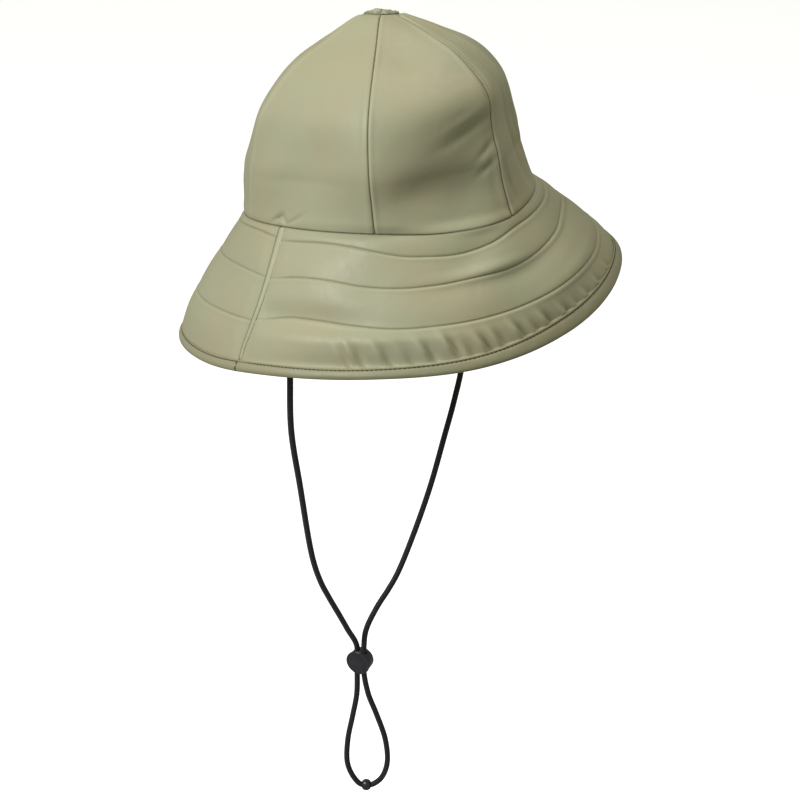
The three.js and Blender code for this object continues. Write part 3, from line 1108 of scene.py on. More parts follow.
@dataclass
class CrownPanels:
    """The six sewn panels of the crown."""

    form: HatForm
    wardrobe: Wardrobe
    root_round: float = 0.592
    seam_deep: float = 0.0008
    seam_wide: float = 0.0005
    roll: float = 0.00045
    ridge: float = 0.00040
    ridge_wide: float = 0.0018
    uneven: float = 0.0004
    pitch: float = 0.0013
    hollows: tuple[Hollow, ...] = (
        Hollow(56, 0.40, 23, 0.33, -4.4 * MM, 4),
        Hollow(52, 0.05, 7, 0.16, -1.2 * MM),
        Hollow(14, 0.23, 22, 0.36, 5.6 * MM, -40),
        Hollow(40, 0.20, 13, 0.11, 3.0 * MM, -60),
        Hollow(20, 0.18, 24, 0.11, 3.0 * MM),
        Hollow(92, 0.40, 26, 0.16, 1.8 * MM),
        Hollow(-3, 0.53, 3.5, 0.40, 2.0 * MM, -7),
        Hollow(34, 0.83, 22, 0.07, 3.2 * MM, -60),
        Hollow(2, 0.60, 32, 0.12, -4.0 * MM, -60),
        Hollow(44, 0.76, 14, 0.10, 1.6 * MM, -30),
        Hollow(-37, 0.80, 19, 0.34, -3.6 * MM, 16),
        Hollow(122, 0.25, 8, 0.20, 2.6 * MM, -20),
        Hollow(105, 0.35, 15, 0.21, -3.0 * MM, -45),
        Hollow(141, 0.22, 12, 0.16, -2.2 * MM),
        Hollow(-58, 0.86, 45, 0.13, 3.4 * MM),
        Hollow(100, 0.95, 50, 0.04, -1.2 * MM),
        # folds of the right panel, and short creases that end in the seam beside it
        Hollow(-24, 0.30, 2.6, 0.26, 2.1 * MM, 10),
        Hollow(-33, 0.38, 3.0, 0.30, -2.1 * MM, 10),
        Hollow(-42, 0.26, 3.2, 0.25, 2.3 * MM, 10),
        Hollow(-8, 0.14, 1.6, 0.10, 1.2 * MM, 15),
        Hollow(14, 0.50, 6, 0.045, -0.7 * MM, -240),
        Hollow(13, 0.44, 6, 0.050, 1.2 * MM, -240),
        Hollow(3.0, 0.34, 2.6, 0.034, 1.2 * MM, -120),
        Hollow(3.5, 0.25, 2.8, 0.034, 1.2 * MM, -120),
        Hollow(205, 0.34, 22, 0.18, 2.0 * MM),
        Hollow(272, 0.28, 20, 0.16, 1.6 * MM),
        Hollow(102, 0.03, 1.5, 0.028, 3.0 * MM, -90),
        Hollow(97, 0.025, 1.3, 0.03, 2.8 * MM, 50),
        Hollow(92.5, 0.035, 1.3, 0.035, 1.7 * MM, -120),
        Hollow(-2, 0.02, 1.5, 0.03, 1.0 * MM, 40),
    )

    def build(self) -> list[bpy.types.Object]:
        """Builds all panels and returns them."""
        ends = [*self.form.panel_seams, self.form.panel_seams[0] + 360.0]
        return [self.panel(index, ends[index], ends[index + 1]) for index in range(6)]

    def panel(self, index: int, start: float, end: float) -> bpy.types.Object:
        """Builds one panel.

        Args:
            index: Number of the panel, from 0.
            start: Turn of its first seam.
            end: Turn of its second seam.

        Returns:
            The finished piece.
        """
        form = self.form
        arc = abs(end - start) / 360.0 * self.root_round
        columns = spaced(arc, SEAM_STEPS, self.pitch)
        rows = np.concatenate(
            [
                np.asarray([0, 0.3, 0.7, 1.2, 1.8, 2.5, 3.4, 4.5]) * MM / form.crown_height,
                np.linspace(5.8 * MM / form.crown_height, 0.90, 66),
                np.linspace(0.905, 1.0, 26),
            ]
        )
        turn, height = np.meshgrid(start + (end - start) * columns, rows)
        plain = form.crown(turn, height)
        first = lengths_along(plain, 1)
        last = first[:, -1:] - first
        above = lengths_along(plain)
        offset = self.relief(plain, first, last, above)
        held = ease((above + 1.2 * MM) / (8.0 * MM))
        for hollow in self.hollows:
            offset = offset - hollow.depth(turn, height) * held
        offset = offset * (1.0 - ease((height - form.patch_start + 0.012) / 0.012))
        offset = offset + form.tip_offset(turn) * ease((height - 0.87) / 0.10)
        points = plain + form.crown_out(turn, height) * offset[..., None]
        near = np.minimum(first, last)
        # painted darker down in the panel seams and the root seam (dirt and painted shade), and paler
        # on the seam allowance's ridge (wear and painted highlight)
        groove = np.maximum(0.95 * hump(near, 0, 0.34 * MM), hump(above, 0, 0.34 * MM))
        wear_and_highlight = 0.8 * hump(last, self.ridge_wide, 1.1 * MM)
        film = ease((9.0 * MM - near) / (0.6 * MM))
        sheet = ClothSheet(
            points[:, ::-1],
            cloth_lengths(points)[:, ::-1],
            {"groove": groove[:, ::-1], "wear_and_highlight": wear_and_highlight[:, ::-1], "film": film[:, ::-1]},
            form.crown_thick,
            (self.wardrobe.cloth, self.wardrobe.backing),
        )
        name = f"panel_{index + 1}"
        return finish_piece(sheet.build(), name, (f"crown_{name}",))

    def relief(self, places: Array, first: Array, last: Array, above: Array) -> Array:
        """How far the cloth stands off its plain form.

        Args:
            places: The panel's plain places.
            first: Distance from its first seam.
            last: Distance from its second seam, where the seam allowance lies under it.
            above: Distance above the root seam.

        Returns:
            Offsets outwards.
        """
        dip = np.exp(-((first / self.seam_wide) ** 1.4)) + np.exp(-((last / self.seam_wide) ** 1.4))
        root = np.exp(-((above / (0.7 * MM)) ** 1.3))
        return (
            -self.seam_deep * np.minimum(dip, 1.2)
            + self.roll * hump(first, 3.2 * MM, 2.0 * MM) * ease(first / (1.2 * MM))
            + self.ridge * hump(last, self.ridge_wide, 1.5 * MM) * ease(last / (1.2 * MM))
            - 0.45 * MM * root
            + 0.3 * MM * hump(above, 4.0 * MM, 3.0 * MM)
            + self.uneven * swell(places, 0.045, 11) * ease(np.minimum(first, last) / (8 * MM))
        )


@dataclass
class TopPatch:
    """Small gathered patch of cloth, set nearly flush over the tips of the panels."""

    form: HatForm
    wardrobe: Wardrobe
    thick: float = 0.00035
    lift: float = 0.0002
    dip: float = 0.0024
    pucker: float = 0.00034
    gathers: int = 13
    flat_share: float = 0.37

    def build(self) -> list[bpy.types.Object]:
        """Builds the patch and returns it in a list.

        Returns:
            The finished pieces.
        """
        form = self.form
        turns = np.linspace(0.0, 360.0, 181)
        reach = np.concatenate([[1.0, 0.99, 0.975, 0.955], np.linspace(0.93, 0.012, 40), [0.0]])
        turn, share = np.meshgrid(turns, reach)
        flat = self.flat_share
        height = np.clip(1.0 - (share - flat) / (1.0 - flat) * (1.0 - form.patch_start), 0.0, 1.0)
        plain = form.crown(turn, height)
        tip = form.crown(turns[:-1], np.ones(len(turns) - 1)).mean(axis=0)
        inner = np.clip(share / flat, 0.0, 1.0)[..., None]
        plain = tip + (plain - tip) * inner
        out = form.crown_out(turn, height)
        out = unit(out * inner + np.asarray([0.0, -0.18, 0.98]) * (1.0 - inner))
        angle = np.radians(turn)
        wave = np.sin(angle * self.gathers + 1.4 * np.sin(angle * 3))
        wave = wave + 0.6 * np.sin(angle * (self.gathers + 8) + 2.0)
        wave = wave * ease(share / 0.3) + 1.3 * swell(plain, 0.0034, 5)
        edge = ease((1.0 - share) / 0.05)
        lift = form.gap + form.tip_offset(turn) * share
        lift = lift + self.lift * edge + self.pucker * wave * edge - self.dip * (1.0 - share)
        points = plain + out * lift[..., None]
        # the gathers' valleys and the patch's rim are painted darker (dirt and painted shade), their
        # crests and a band near the rim paler (wear and painted highlight)
        groove = np.clip(-wave * 0.85 - 0.15, 0, 1) * edge + 0.2 * hump(share, 1.0, 0.03)
        groove = np.clip(groove * 1.3, 0, 0.9)
        wear_and_highlight = np.clip(wave * 1.2, 0, 1) * edge + 0.5 * hump(share, 0.95, 0.03)
        materials = (self.wardrobe.patch, self.wardrobe.backing)
        piece = sew(points, groove, wear_and_highlight, self.thick, materials, True)
        return [finish_piece(piece, "gathered_patch", ("top_patch",))]


@dataclass(frozen=True)
class QuiltLine:
    """One row of stitching round the brim, as shares of the way out at some turns."""

    turns: tuple[float, ...]
    shares: tuple[float, ...]

    def at(self, turn: Array) -> Array:
        """Share of the way out at each turn."""
        return smooth_table(self.turns, self.shares, turn)


FRONT_LINES = (
    QuiltLine(
        (-99, -90, -75, -60, -45, -28, -14, -3, 14, 28, 39, 49, 57, 66, 76, 87, 94, 99),
        (.075, .088, .085, .095, .105, .10, .085, .077, .128, .157, .155, .150, .127, .097, .080,
         .086, .094, .096),
    ),
    QuiltLine(
        (-99, -90, -75, -60, -45, -35, -21, -8, 13, 30, 40, 50, 62, 72, 83, 94, 99),
        (.35, .345, .335, .335, .30, .285, .318, .334, .359, .358, .368, .378, .366, .339, .331,
         .353, .36),
    ),
    QuiltLine(
        (-99, -90, -75, -60, -43, -30, -19, -8, 6, 24, 38, 54, 64, 74, 85, 95, 99),
        (.63, .62, .62, .64, .669, .680, .671, .662, .657, .657, .658, .659, .634, .607, .600,
         .636, .645),
    ),
)
BACK_LINES = (
    QuiltLine((99, 111, 127, 150, 180, 210, 240, 261), (.074, .052, .050, .06, .07, .06, .06, .07)),
    QuiltLine((98, 114, 130, 150, 180, 210, 240, 261), (.349, .312, .306, .32, .33, .32, .32, .34)),
    QuiltLine((98, 115, 136, 150, 180, 210, 240, 261), (.651, .629, .627, .63, .64, .63, .63, .65)),
)


def ripple(turn: float, share: float, deep: float) -> tuple[Hollow, Hollow]:
    """A short crest with a hollow on its right, where the tape holds the cloth short.

    Args:
        turn: Turn of the slope between the two.
        share: Share of the way out of their middle.
        deep: Height of the crest and depth of the hollow.

    Returns:
        The crest and the hollow.
    """
    crest = Hollow(turn + 1.1, share, 1.15, 0.08, -1.15 * deep, -20)
    return crest, Hollow(turn - 1.1, share + 0.01, 1.25, 0.075, 1.25 * deep, -20)


RIPPLES = (
    (66.5, 0.84, 0.9 * MM), (63, 0.83, 1.7 * MM), (55.5, 0.84, 1.4 * MM), (49.5, 0.86, 0.8 * MM),
    (44, 0.83, 1.8 * MM), (37.5, 0.80, 2.0 * MM), (33, 0.86, 0.9 * MM), (28, 0.84, 1.9 * MM),
    (23.5, 0.83, 1.4 * MM), (16.5, 0.82, 1.8 * MM), (11, 0.86, 1.0 * MM), (6, 0.83, 1.7 * MM),
    (-2.5, 0.86, 1.5 * MM), (-8, 0.88, 0.8 * MM), (-14, 0.87, 1.1 * MM), (-21.5, 0.87, 1.0 * MM),
    (-31, 0.87, 0.8 * MM), (-52, 0.86, 1.0 * MM), (-61, 0.86, 0.8 * MM),
)
FRONT_FOLDS = (
    Hollow(69, 0.45, 9, 0.17, -1.4 * MM, -40),
    Hollow(48, 0.33, 16, 0.28, 2.0 * MM, 25),
    Hollow(64, 0.13, 12, 0.25, -1.2 * MM, 50),
    Hollow(62, 0.74, 26, 0.05, -1.8 * MM),
    Hollow(22, 0.17, 11, 0.23, 2.0 * MM, 45),
    Hollow(-18, 0.20, 25, 0.20, 2.2 * MM, -70),
    Hollow(62, 0.90, 26, 0.06, 3.1 * MM, 30),
    Hollow(1, 0.40, 26, 0.10, 2.2 * MM, 70),
    Hollow(82, 0.60, 24, 0.09, 2.4 * MM, -60),
    Hollow(10, 0.88, 17, 0.08, 1.1 * MM, 20),
    Hollow(-13, 0.64, 26, 0.08, -2.0 * MM, 70),
    Hollow(19, 0.33, 20, 0.05, -2.2 * MM, 70),
    *(hollow for values in RIPPLES for hollow in ripple(*values)),
)
BACK_FOLDS = (
    Hollow(150, 0.40, 18, 0.20, -1.4 * MM),
    Hollow(136, 0.70, 26, 0.22, -3.4 * MM),
    Hollow(205, 0.55, 14, 0.16, 1.6 * MM, 20),
    Hollow(231, 0.40, 9, 0.20, -1.3 * MM, -30),
    Hollow(176, 0.75, 12, 0.10, 1.2 * MM),
    Hollow(190, 0.85, 2.2, 0.07, 1.0 * MM),
    Hollow(184, 0.84, 2.2, 0.07, -1.0 * MM),
    Hollow(215, 0.84, 2.0, 0.07, 1.0 * MM),
)


@dataclass
class BrimPiece:
    """One piece of the quilted brim between the two side seams."""

    form: HatForm
    wardrobe: Wardrobe
    name: str
    node: str
    start: float
    end: float
    lines: tuple[QuiltLine, ...]
    hollows: tuple[Hollow, ...] = ()
    seam_line: float = 0.00055
    pitch: float = 0.0012
    row_pitch: float = 0.0017
    edge_round: float = 0.98
    groove: float = 0.0005
    groove_wide: float = 0.0005
    ridge: float = 0.00028
    puff: float = 0.0007
    uneven: float = 0.00035
    line_fade: float = 0.0

    def row_shares(self, turn: Array) -> tuple[Array, Array]:
        """Rows of the sheet at some turns, close together along the quilt lines.

        Args:
            turn: Turn of each column.

        Returns:
            Share of each row and column, and how far each row is across its band.
        """
        length = self.form.brim_size(turn)
        tape = self.form.tape_start(turn)
        marks = [0.3 * MM / length, *[line.at(turn) for line in self.lines], tape,
                 1.0 - 1.8 * MM / length]
        shares, across = [-0.9 * MM / length, marks[0]], [np.zeros_like(turn)] * 2
        typical = float(length.mean())
        for low, high in zip(marks[:-1], marks[1:]):
            near = tuple(step * MM for step in (0, 0.35, 0.7, 1.1, 1.6, 2.3, 3.1))
            for part in spaced(float((high - low).mean()) * typical, near, self.row_pitch)[1:]:
                shares.append(low + (high - low) * part)
                across.append(np.full_like(turn, part))
        return np.stack(shares), np.stack(across)

    def build(self) -> list[bpy.types.Object]:
        """Builds the piece and returns it in a list.

        Returns:
            The finished pieces.
        """
        form = self.form
        arc = abs(self.end - self.start) / 360.0 * self.edge_round
        columns = spaced(arc, SEAM_STEPS[:7], self.pitch)
        turns = self.start + (self.end - self.start) * columns
        share, across = self.row_shares(turns)
        turn = form.settled(np.broadcast_to(turns, share.shape), share)
        plain = form.brim(turn, share)
        first = lengths_along(plain, 1)
        near = np.minimum(first, first[:, -1:] - first)
        length = form.brim_size(turn)
        root = np.maximum(share, 0.0) * length
        offset = self.relief(turn, share, across, plain, near)
        points = plain + form.brim_out(turn, share) * (offset - form.gap)[..., None]
        # painted darker in the side seams, at the root seam, along the quilt lines and in a second
        # line beside them at the front right (dirt and painted shade); painted paler beside the root
        # and on the ridges beside the lines (wear and painted highlight)
        groove = np.maximum(hump(near, 0, self.seam_line) * 0.95, hump(root, 0, 0.36 * MM))
        wear_and_highlight = 0.2 * hump(root, 3 * MM, 1.5 * MM)
        for line in self.lines:
            away = (share - line.at(turn)) * length
            faint = (0.5 + 0.5 * ease((85.0 - turn) / 60.0)) * self.fading(near)
            groove = np.maximum(groove, 0.30 * faint * hump(away, 0, 0.5 * MM))
            double = ease((20.0 - turn) / 40.0) * 0.26 * hump(away, 3.5 * MM, 0.45 * MM)
            groove = np.maximum(groove, double)
            wear_and_highlight = wear_and_highlight + 0.6 * faint * hump(away, 1.9 * MM, 0.8 * MM)
        materials = (self.wardrobe.cloth, self.wardrobe.backing)
        piece = sew(points, groove, np.clip(wear_and_highlight, 0, 1), form.brim_thick, materials)
        return [finish_piece(piece, self.name, (self.node,))]

    def fading(self, near: Array) -> Array:
        """Strength of the quilt lines, which are soft beside the raised side seams."""
        return 1.0 - self.line_fade * (1.0 - ease((near - 5 * MM) / (18 * MM)))

    def on_line(self, line: QuiltLine, turn: Array) -> Array:
        """Places on the cloth along one quilt line, down in its groove.

        Args:
            line: The quilt line.
            turn: Turns along it.

        Returns:
            Places on the shaped cloth.
        """
        share = line.at(turn)
        plain = self.form.brim(turn, share)
        sides = np.radians(np.minimum(turn - self.start, self.end - turn))
        near = np.maximum(sides, 0.0) * np.linalg.norm(plain, axis=-1)
        offset = self.relief(turn, share, np.zeros_like(share), plain, near) - self.form.gap
        return plain + self.form.brim_out(turn, share) * offset[..., None]

    def relief(self, turn: Array, share: Array, across: Array, places: Array, near: Array) -> Array:
        """How far the cloth stands off the brim's plain form.

        Args:
            turn: Turn of each place.
            share: Share of the way out of each place.
            across: Share of the way across its band of each place.
            places: The plain places.
            near: Distance to the nearer side seam.

        Returns:
            Offsets outwards.
        """
        length = self.form.brim_size(turn)
        under = ease((share - self.form.tape_start(turn)) * length / (2 * MM) + 0.5)
        offset = self.puff * np.sin(np.pi * across) ** 0.8
        offset = offset + self.uneven * swell(places, 0.038, 23)
        for hollow in self.hollows:
            offset = offset - hollow.depth(turn, share)
        root = np.maximum(share, 0.0) * length
        still = ease((near - 2.5 * MM) / (9 * MM)) * ease(root / (5 * MM))
        offset = offset * (1 - under) * still
        for line in self.lines:
            away = (share - line.at(turn)) * length
            offset = offset - self.groove * self.fading(near) * hump(away, 0, self.groove_wide)
            offset = offset + self.ridge * hump(away, 1.9 * MM, 0.9 * MM)
        offset = offset - 0.7 * MM * np.exp(-((near / (0.8 * MM)) ** 1.4))
        return offset - 0.35 * MM * np.exp(-((root / (0.6 * MM)) ** 1.3))


@dataclass
class SideSeam:
    """Raised lap of one side seam, on the front piece of the brim."""

    form: HatForm
    wardrobe: Wardrobe
    name: str
    node: str
    turn: float
    toward: float
    wide: float = 0.0054
    high: float = 0.0011
    thick: float = 0.5 * MM

    def build(self) -> list[bpy.types.Object]:
        """Builds the lap and returns it in a list.

        Returns:
            The finished pieces.
        """
        form = self.form
        last = float(form.tape_start(np.asarray(self.turn))) - 0.9 * MM / form.brim_length
        rows = np.linspace(0.012, last, 70)
        parts = np.asarray([0, 0.03, 0.07, 0.12, 0.2, 0.3, 0.42, 0.55, 0.68, 0.8, 0.9, 0.96, 1.0])
        part, share = np.meshgrid(parts, rows)
        seam = form.settled(np.full_like(share, self.turn), share)
        reach = np.linalg.norm(form.brim(seam, share), axis=-1)
        wide = self.wide * (1.0 - 0.4 * share)
        turn = seam + self.toward * np.degrees(wide * part / reach)
        away = wide * part
        high = self.high * (1.0 - 0.35 * share)
        lift = high * (0.12 + 0.88 * ease(away / (2.6 * MM))) * (1 - 0.9 * ease((part - 0.72) / 0.28))
        lift = lift + 0.06 * MM * swell(form.brim(turn, share), 0.012, 7)
        points = form.brim(turn, share) + form.brim_out(turn, share) * lift[..., None]
        if self.toward < 0:
            points, away, part = points[:, ::-1], away[:, ::-1], part[:, ::-1]
        # a dark line painted at the lap's edge (dirt and painted shade of the crease) and a paler
        # middle (wear and painted highlight)
        groove, wear_and_highlight = 0.9 * hump(away, 0, 0.85 * MM), hump(part, 0.55, 0.35)
        materials = (self.wardrobe.cloth, self.wardrobe.backing)
        piece = sew(points, groove, wear_and_highlight, self.thick, materials)
        return [finish_piece(piece, self.name, (self.node,))]


@dataclass
class EdgeTape:
    """Tape folded round the brim's edge, puffed between its stitching and the fold.

    upper holds shares of the tape's width and heights in millimetres, from the lip to the
    fold, and fold_steps counts the places round the fold.
    """

    form: HatForm
    wardrobe: Wardrobe
    join_turn: float = 99.6
    thick: float = 0.0005
    edge_round: float = 1.02
    pitch: float = 0.0016
    fold_steps: int = 9
    upper: tuple[tuple[float, float], ...] = (
        (1.00, 0.00), (0.99, 0.36), (0.95, 0.60), (0.90, 0.50), (0.86, 0.16), (0.82, 0.14),
        (0.78, 0.32), (0.70, 0.62), (0.60, 0.80), (0.48, 0.92), (0.36, 0.94), (0.25, 0.82),
    )

    def section(self, width: Array, step: int) -> tuple[Array, Array]:
        """One of the places round the folded tape.

        Args:
            width: Width of the tape on the brim at each turn.
            step: Number of the place, from the upper lip to the lower one.

        Returns:
            Distance inwards from the brim's edge, and height over the brim's face.
        """
        upper = self.upper
        if step < len(upper):
            share, high = upper[step]
            return width * share, np.full_like(width, high * MM)
        if step < len(upper) + self.fold_steps:
            angle = math.radians(70 - (step - len(upper)) * 140 / (self.fold_steps - 1))
            return (
                np.full_like(width, 2.1 * MM * (1 - math.cos(angle)) + 0.05 * MM),
                np.full_like(width, (-1.4 + 2.15 * math.sin(angle)) * MM),
            )
        share, high = upper[2 * len(upper) + self.fold_steps - 1 - step]
        return width * share, np.full_like(width, -(2.8 + high) * MM)

    def build(self) -> list[bpy.types.Object]:
        """Builds the tape and returns it in a list.

        Returns:
            The finished pieces.
        """
        form = self.form
        columns = spaced(self.edge_round, SEAM_STEPS[:8], self.pitch)
        turns = self.join_turn + 360.0 * columns
        width = (1.0 - form.tape_start(turns)) * form.brim_size(turns)
        count = 2 * len(self.upper) + self.fold_steps
        places = [self.section(width, step) for step in range(count)]
        inward = np.stack([place[0] for place in places])
        high = np.stack([place[1] for place in places])
        turn = np.broadcast_to(turns, inward.shape)
        share = 1.0 - inward / form.brim_size(turn)
        plain = form.brim(turn, share)
        side = np.sign(high + 1.4 * MM)
        near = np.minimum(turn - self.join_turn, self.join_turn + 360.0 - turn)
        near = near / 360.0 * self.edge_round
        body = ease(1.0 - np.abs(inward - 0.45 * width) / (0.5 * width))
        lift = 0.10 * MM * swell(plain, 0.011, 31) + 0.14 * MM * swell(plain, 0.03, 32)
        lift = lift * body + 0.5 * MM * hump(turn, self.join_turn + 358.0, 2.5)
        lift = lift - 0.6 * MM * np.exp(-((near / (0.7 * MM)) ** 1.4))
        points = plain + form.brim_out(turn, share) * (high + side * lift)[..., None]
        # painted darker at the join, along the stitching and at the lip (dirt and painted shade),
        # paler on the ridge behind the lip (wear and painted highlight)
        groove = 0.8 * hump(near, 0, 0.5 * MM)
        stitch = hump(inward / width, 0.84, 0.035)
        lipped = hump(inward / width, 1.0, 0.012)
        groove = np.clip(groove + 0.55 * stitch + 0.7 * lipped, 0, 1)
        wear_and_highlight = hump(inward / width, 0.94, 0.04)
        materials = (self.wardrobe.tape, self.wardrobe.backing)
        piece = sew(points, groove, wear_and_highlight, self.thick, materials)
        return [finish_piece(piece, "folded_edge_tape", ("edge_tape",))]


@dataclass
class Stitching:
    """Rows of machine stitches: along the quilt lines, on the tape and at its join."""

    form: HatForm
    wardrobe: Wardrobe
    front: BrimPiece
    back: BrimPiece
    long: float = 0.0024
    thread: float = 0.00055
    quilt_pitch: float = 3.1 * MM
    edge_pitch: float = 2.9 * MM
    lap_turn: float = 2.6
    butt_turn: float = 0.4
    edge_turns: tuple[float, float] = (99.9, 459.0)
    edge_share: float = 0.84
    upper_high: float = 0.42 * MM
    lower_high: float = -3.22 * MM

    def one_stitch(self) -> tuple[Array, list[tuple[int, ...]]]:
        """Models one stitch as a small ball along X; the row bows it down at its ends.

        Returns:
            Its places, one long from end to end, and its faces.
        """
        deselect()
        bpy.ops.mesh.primitive_uv_sphere_add(segments=6, ring_count=5, radius=0.5)
        piece = bpy.context.object
        bpy.ops.object.mode_set(mode="EDIT")
        bpy.ops.mesh.select_all(action="SELECT")
        bpy.ops.transform.rotate(
            value=math.pi / 2, orient_axis="Y", center_override=(0.0, 0.0, 0.0)
        )
        bpy.ops.object.mode_set(mode="OBJECT")
        places = np.empty(len(piece.data.vertices) * 3)
        piece.data.vertices.foreach_get("co", places)
        places = places.reshape(-1, 3)
        faces = [tuple(face.vertices) for face in piece.data.polygons]
        mesh = piece.data
        bpy.data.objects.remove(piece)
        bpy.data.meshes.remove(mesh)
        return places, faces

    def row(
        self, name: str, centres: Array, along: Array, out: Array, colour: bpy.types.Material
    ) -> bpy.types.Object:
        """Sews one row of stitches as a single piece.

        Args:
            name: Name of the piece.
            centres: Middle of each stitch.
            along: Direction of each stitch.
            out: Direction out of the cloth at each stitch.
            colour: Material of the thread.

        Returns:
            The finished piece.
        """
        shape, faces = self.one_stitch()
        along = unit(along)
        side = unit(np.cross(out, along))
        top = np.cross(along, side)
        drop = shape[:, 2] * self.thread - 1.1 * MM * (shape[:, 0] ** 2)
        places = (
            centres[:, None, :]
            + along[:, None, :] * (shape[:, 0] * self.long)[None, :, None]
            + side[:, None, :] * (shape[:, 1] * self.thread)[None, :, None]
            + top[:, None, :] * drop[None, :, None]
        )
        count = len(shape)
        every = [tuple(i + n * count for i in face) for n in range(len(centres)) for face in faces]
        mesh = bpy.data.meshes.new(name)
        mesh.from_pydata(places.reshape(-1, 3).tolist(), [], every)
        mesh.materials.append(colour)
        piece = bpy.data.objects.new(name, mesh)
        bpy.context.scene.collection.objects.link(piece)
        pick(piece)
        bpy.ops.object.shade_smooth()
        return piece

    def along(
        self, turns: tuple[float, float], place_at: Callable[[Array], Array],
        out_at: Callable[[Array], Array], pitch: float,
    ) -> tuple[Array, Array, Array]:
        """Places a row of stitches round the brim.

        Args:
            turns: First and last turn of the row.
            place_at: Function from turns to places on the cloth.
            out_at: Function from turns to directions out of the cloth.
            pitch: Distance from one stitch to the next.

        Returns:
            Middles, directions along the row and directions out of the cloth.
        """
        dense = np.linspace(turns[0], turns[1], 1500)
        way = lengths_along(place_at(dense))
        count = max(2, int(way[-1] / pitch))
        turn = np.interp((np.arange(count) + 0.5) * way[-1] / count, way, dense)
        centre = place_at(turn)
        return centre, place_at(turn + 0.1) - centre, out_at(turn)

    def quilt_rows(self, brim: BrimPiece, word: str) -> list[bpy.types.Object]:
        """Sews the rows that lie in the grooves of one piece of the brim.

        Args:
            brim: The piece of the brim.
            word: Its word in the names of the rows.

        Returns:
            The finished rows.
        """
        form = self.form
        pieces = []
        for number, line in enumerate(brim.lines):
            ends = np.asarray([brim.start, brim.end])
            first, last = form.settled(ends, line.at(ends))
            spare = self.lap_turn if word == "front" else self.butt_turn

            def place_at(turn: Array, line: QuiltLine = line) -> Array:
                """Middle of the thread, half sunk in the groove."""
                out = form.brim_out(turn, line.at(turn))
                return brim.on_line(line, turn) - out * (0.05 * MM)

            def out_at(turn: Array, line: QuiltLine = line) -> Array:
                """Direction out of the cloth."""
                return form.brim_out(turn, line.at(turn))

            ends = (first + spare, last - spare)
            places = self.along(ends, place_at, out_at, self.quilt_pitch)
            piece = self.row(f"quilt_row_{word}_{number + 1}", *places, self.wardrobe.tone_thread)
            pieces.append(finish_piece(piece, piece.name))
        return pieces

    def edge_rows(self) -> list[bpy.types.Object]:
        """Sews the row round the edge tape, above and below.

        Returns:
            The two finished rows.
        """
        form = self.form

        def share_at(turn: Array) -> Array:
            """Share of the way out of the tape's stitching."""
            return 1.0 - self.edge_share * (1.0 - form.tape_start(turn))

        pieces = []
        sides = (("upper", self.upper_high, 1.0), ("lower", self.lower_high, -1.0))
        for word, high, side in sides:

            def out_at(turn: Array, side: float = side) -> Array:
                """Direction out of this side of the tape."""
                return form.brim_out(turn, share_at(turn)) * side

            def place_at(turn: Array, high: float = high) -> Array:
                """Middle of the thread."""
                share = share_at(turn)
                return form.brim(turn, share) + form.brim_out(turn, share) * high

            places = self.along(self.edge_turns, place_at, out_at, self.edge_pitch)
            piece = self.row(f"edge_stitches_{word}", *places, self.wardrobe.edge_thread)
            pieces.append(finish_piece(piece, piece.name))
        return pieces

    def join_stitches(self) -> bpy.types.Object:
        """Sews the short upright row over the tape's join and returns it.

        Returns:
            The finished row.
        """
        form = self.form
        share = np.linspace(0.945, 0.992, 4)
        turn = np.asarray([99.7, 99.2, 99.8, 99.4])
        out = form.brim_out(turn, share)
        high = np.asarray([0.75, 1.0, 1.0, 0.75]) * MM
        middles = form.brim(turn, share) + out * high[:, None]
        along = form.brim(turn + 0.1, share + 0.01) - form.brim(turn, share)
        piece = self.row("tape_join_stitches", middles, along, out, self.wardrobe.edge_thread)
        return finish_piece(piece, piece.name)

    def build(self) -> list[bpy.types.Object]:
        """Sews all rows and returns them."""
        pieces = self.quilt_rows(self.front, "front") + self.quilt_rows(self.back, "back")
        return [*pieces, *self.edge_rows(), self.join_stitches()]


@dataclass
class CordTab:
    """Folded tab of cloth sewn inside the root of the crown, holding one cord end."""

    form: HatForm
    wardrobe: Wardrobe
    name: str
    node: str
    turn: float
    wide: float = 0.013
    tall: float = 0.0108
    thick: float = 0.0044

    def build(self) -> list[bpy.types.Object]:
        """Builds the tab and returns it in a list.

        Returns:
            The finished pieces.
        """
        form = self.form
        root = np.linalg.norm(form.root(np.asarray(self.turn)))
        half = math.degrees(self.wide / 2 / root)
        parts = np.linspace(-1.0, 1.0, 25)
        levels = np.linspace(0.0, 1.0, 21)
        part, level = np.meshgrid(parts, levels)
        turn = self.turn + half * part
        height = 0.006 + level * self.tall / form.crown_height
        soft = (1 - np.abs(part) ** 6) * (1 - np.abs(level * 2 - 1) ** 8)
        deep = form.crown_thick + form.gap + self.thick * (0.45 + 0.55 * soft)
        deep = deep - 0.35 * MM * hump(np.abs(part), 0.8, 0.06)
        deep = deep + 0.15 * MM * swell(form.crown(turn, height), 0.006, 3)
        points = form.crown(turn, height) - form.crown_out(turn, height) * deep[..., None]
        # painted darker along the stitching (dirt and painted shade) and paler on the puffed middle
        # (wear and painted highlight)
        stitch = hump(np.abs(part), 0.8, 0.05)
        thick = self.thick - 0.6 * MM
        piece = sew(points, 0.6 * stitch, 0.4 * soft, thick, (self.wardrobe.cloth,))
        return [finish_piece(piece, self.name, (self.node,))]


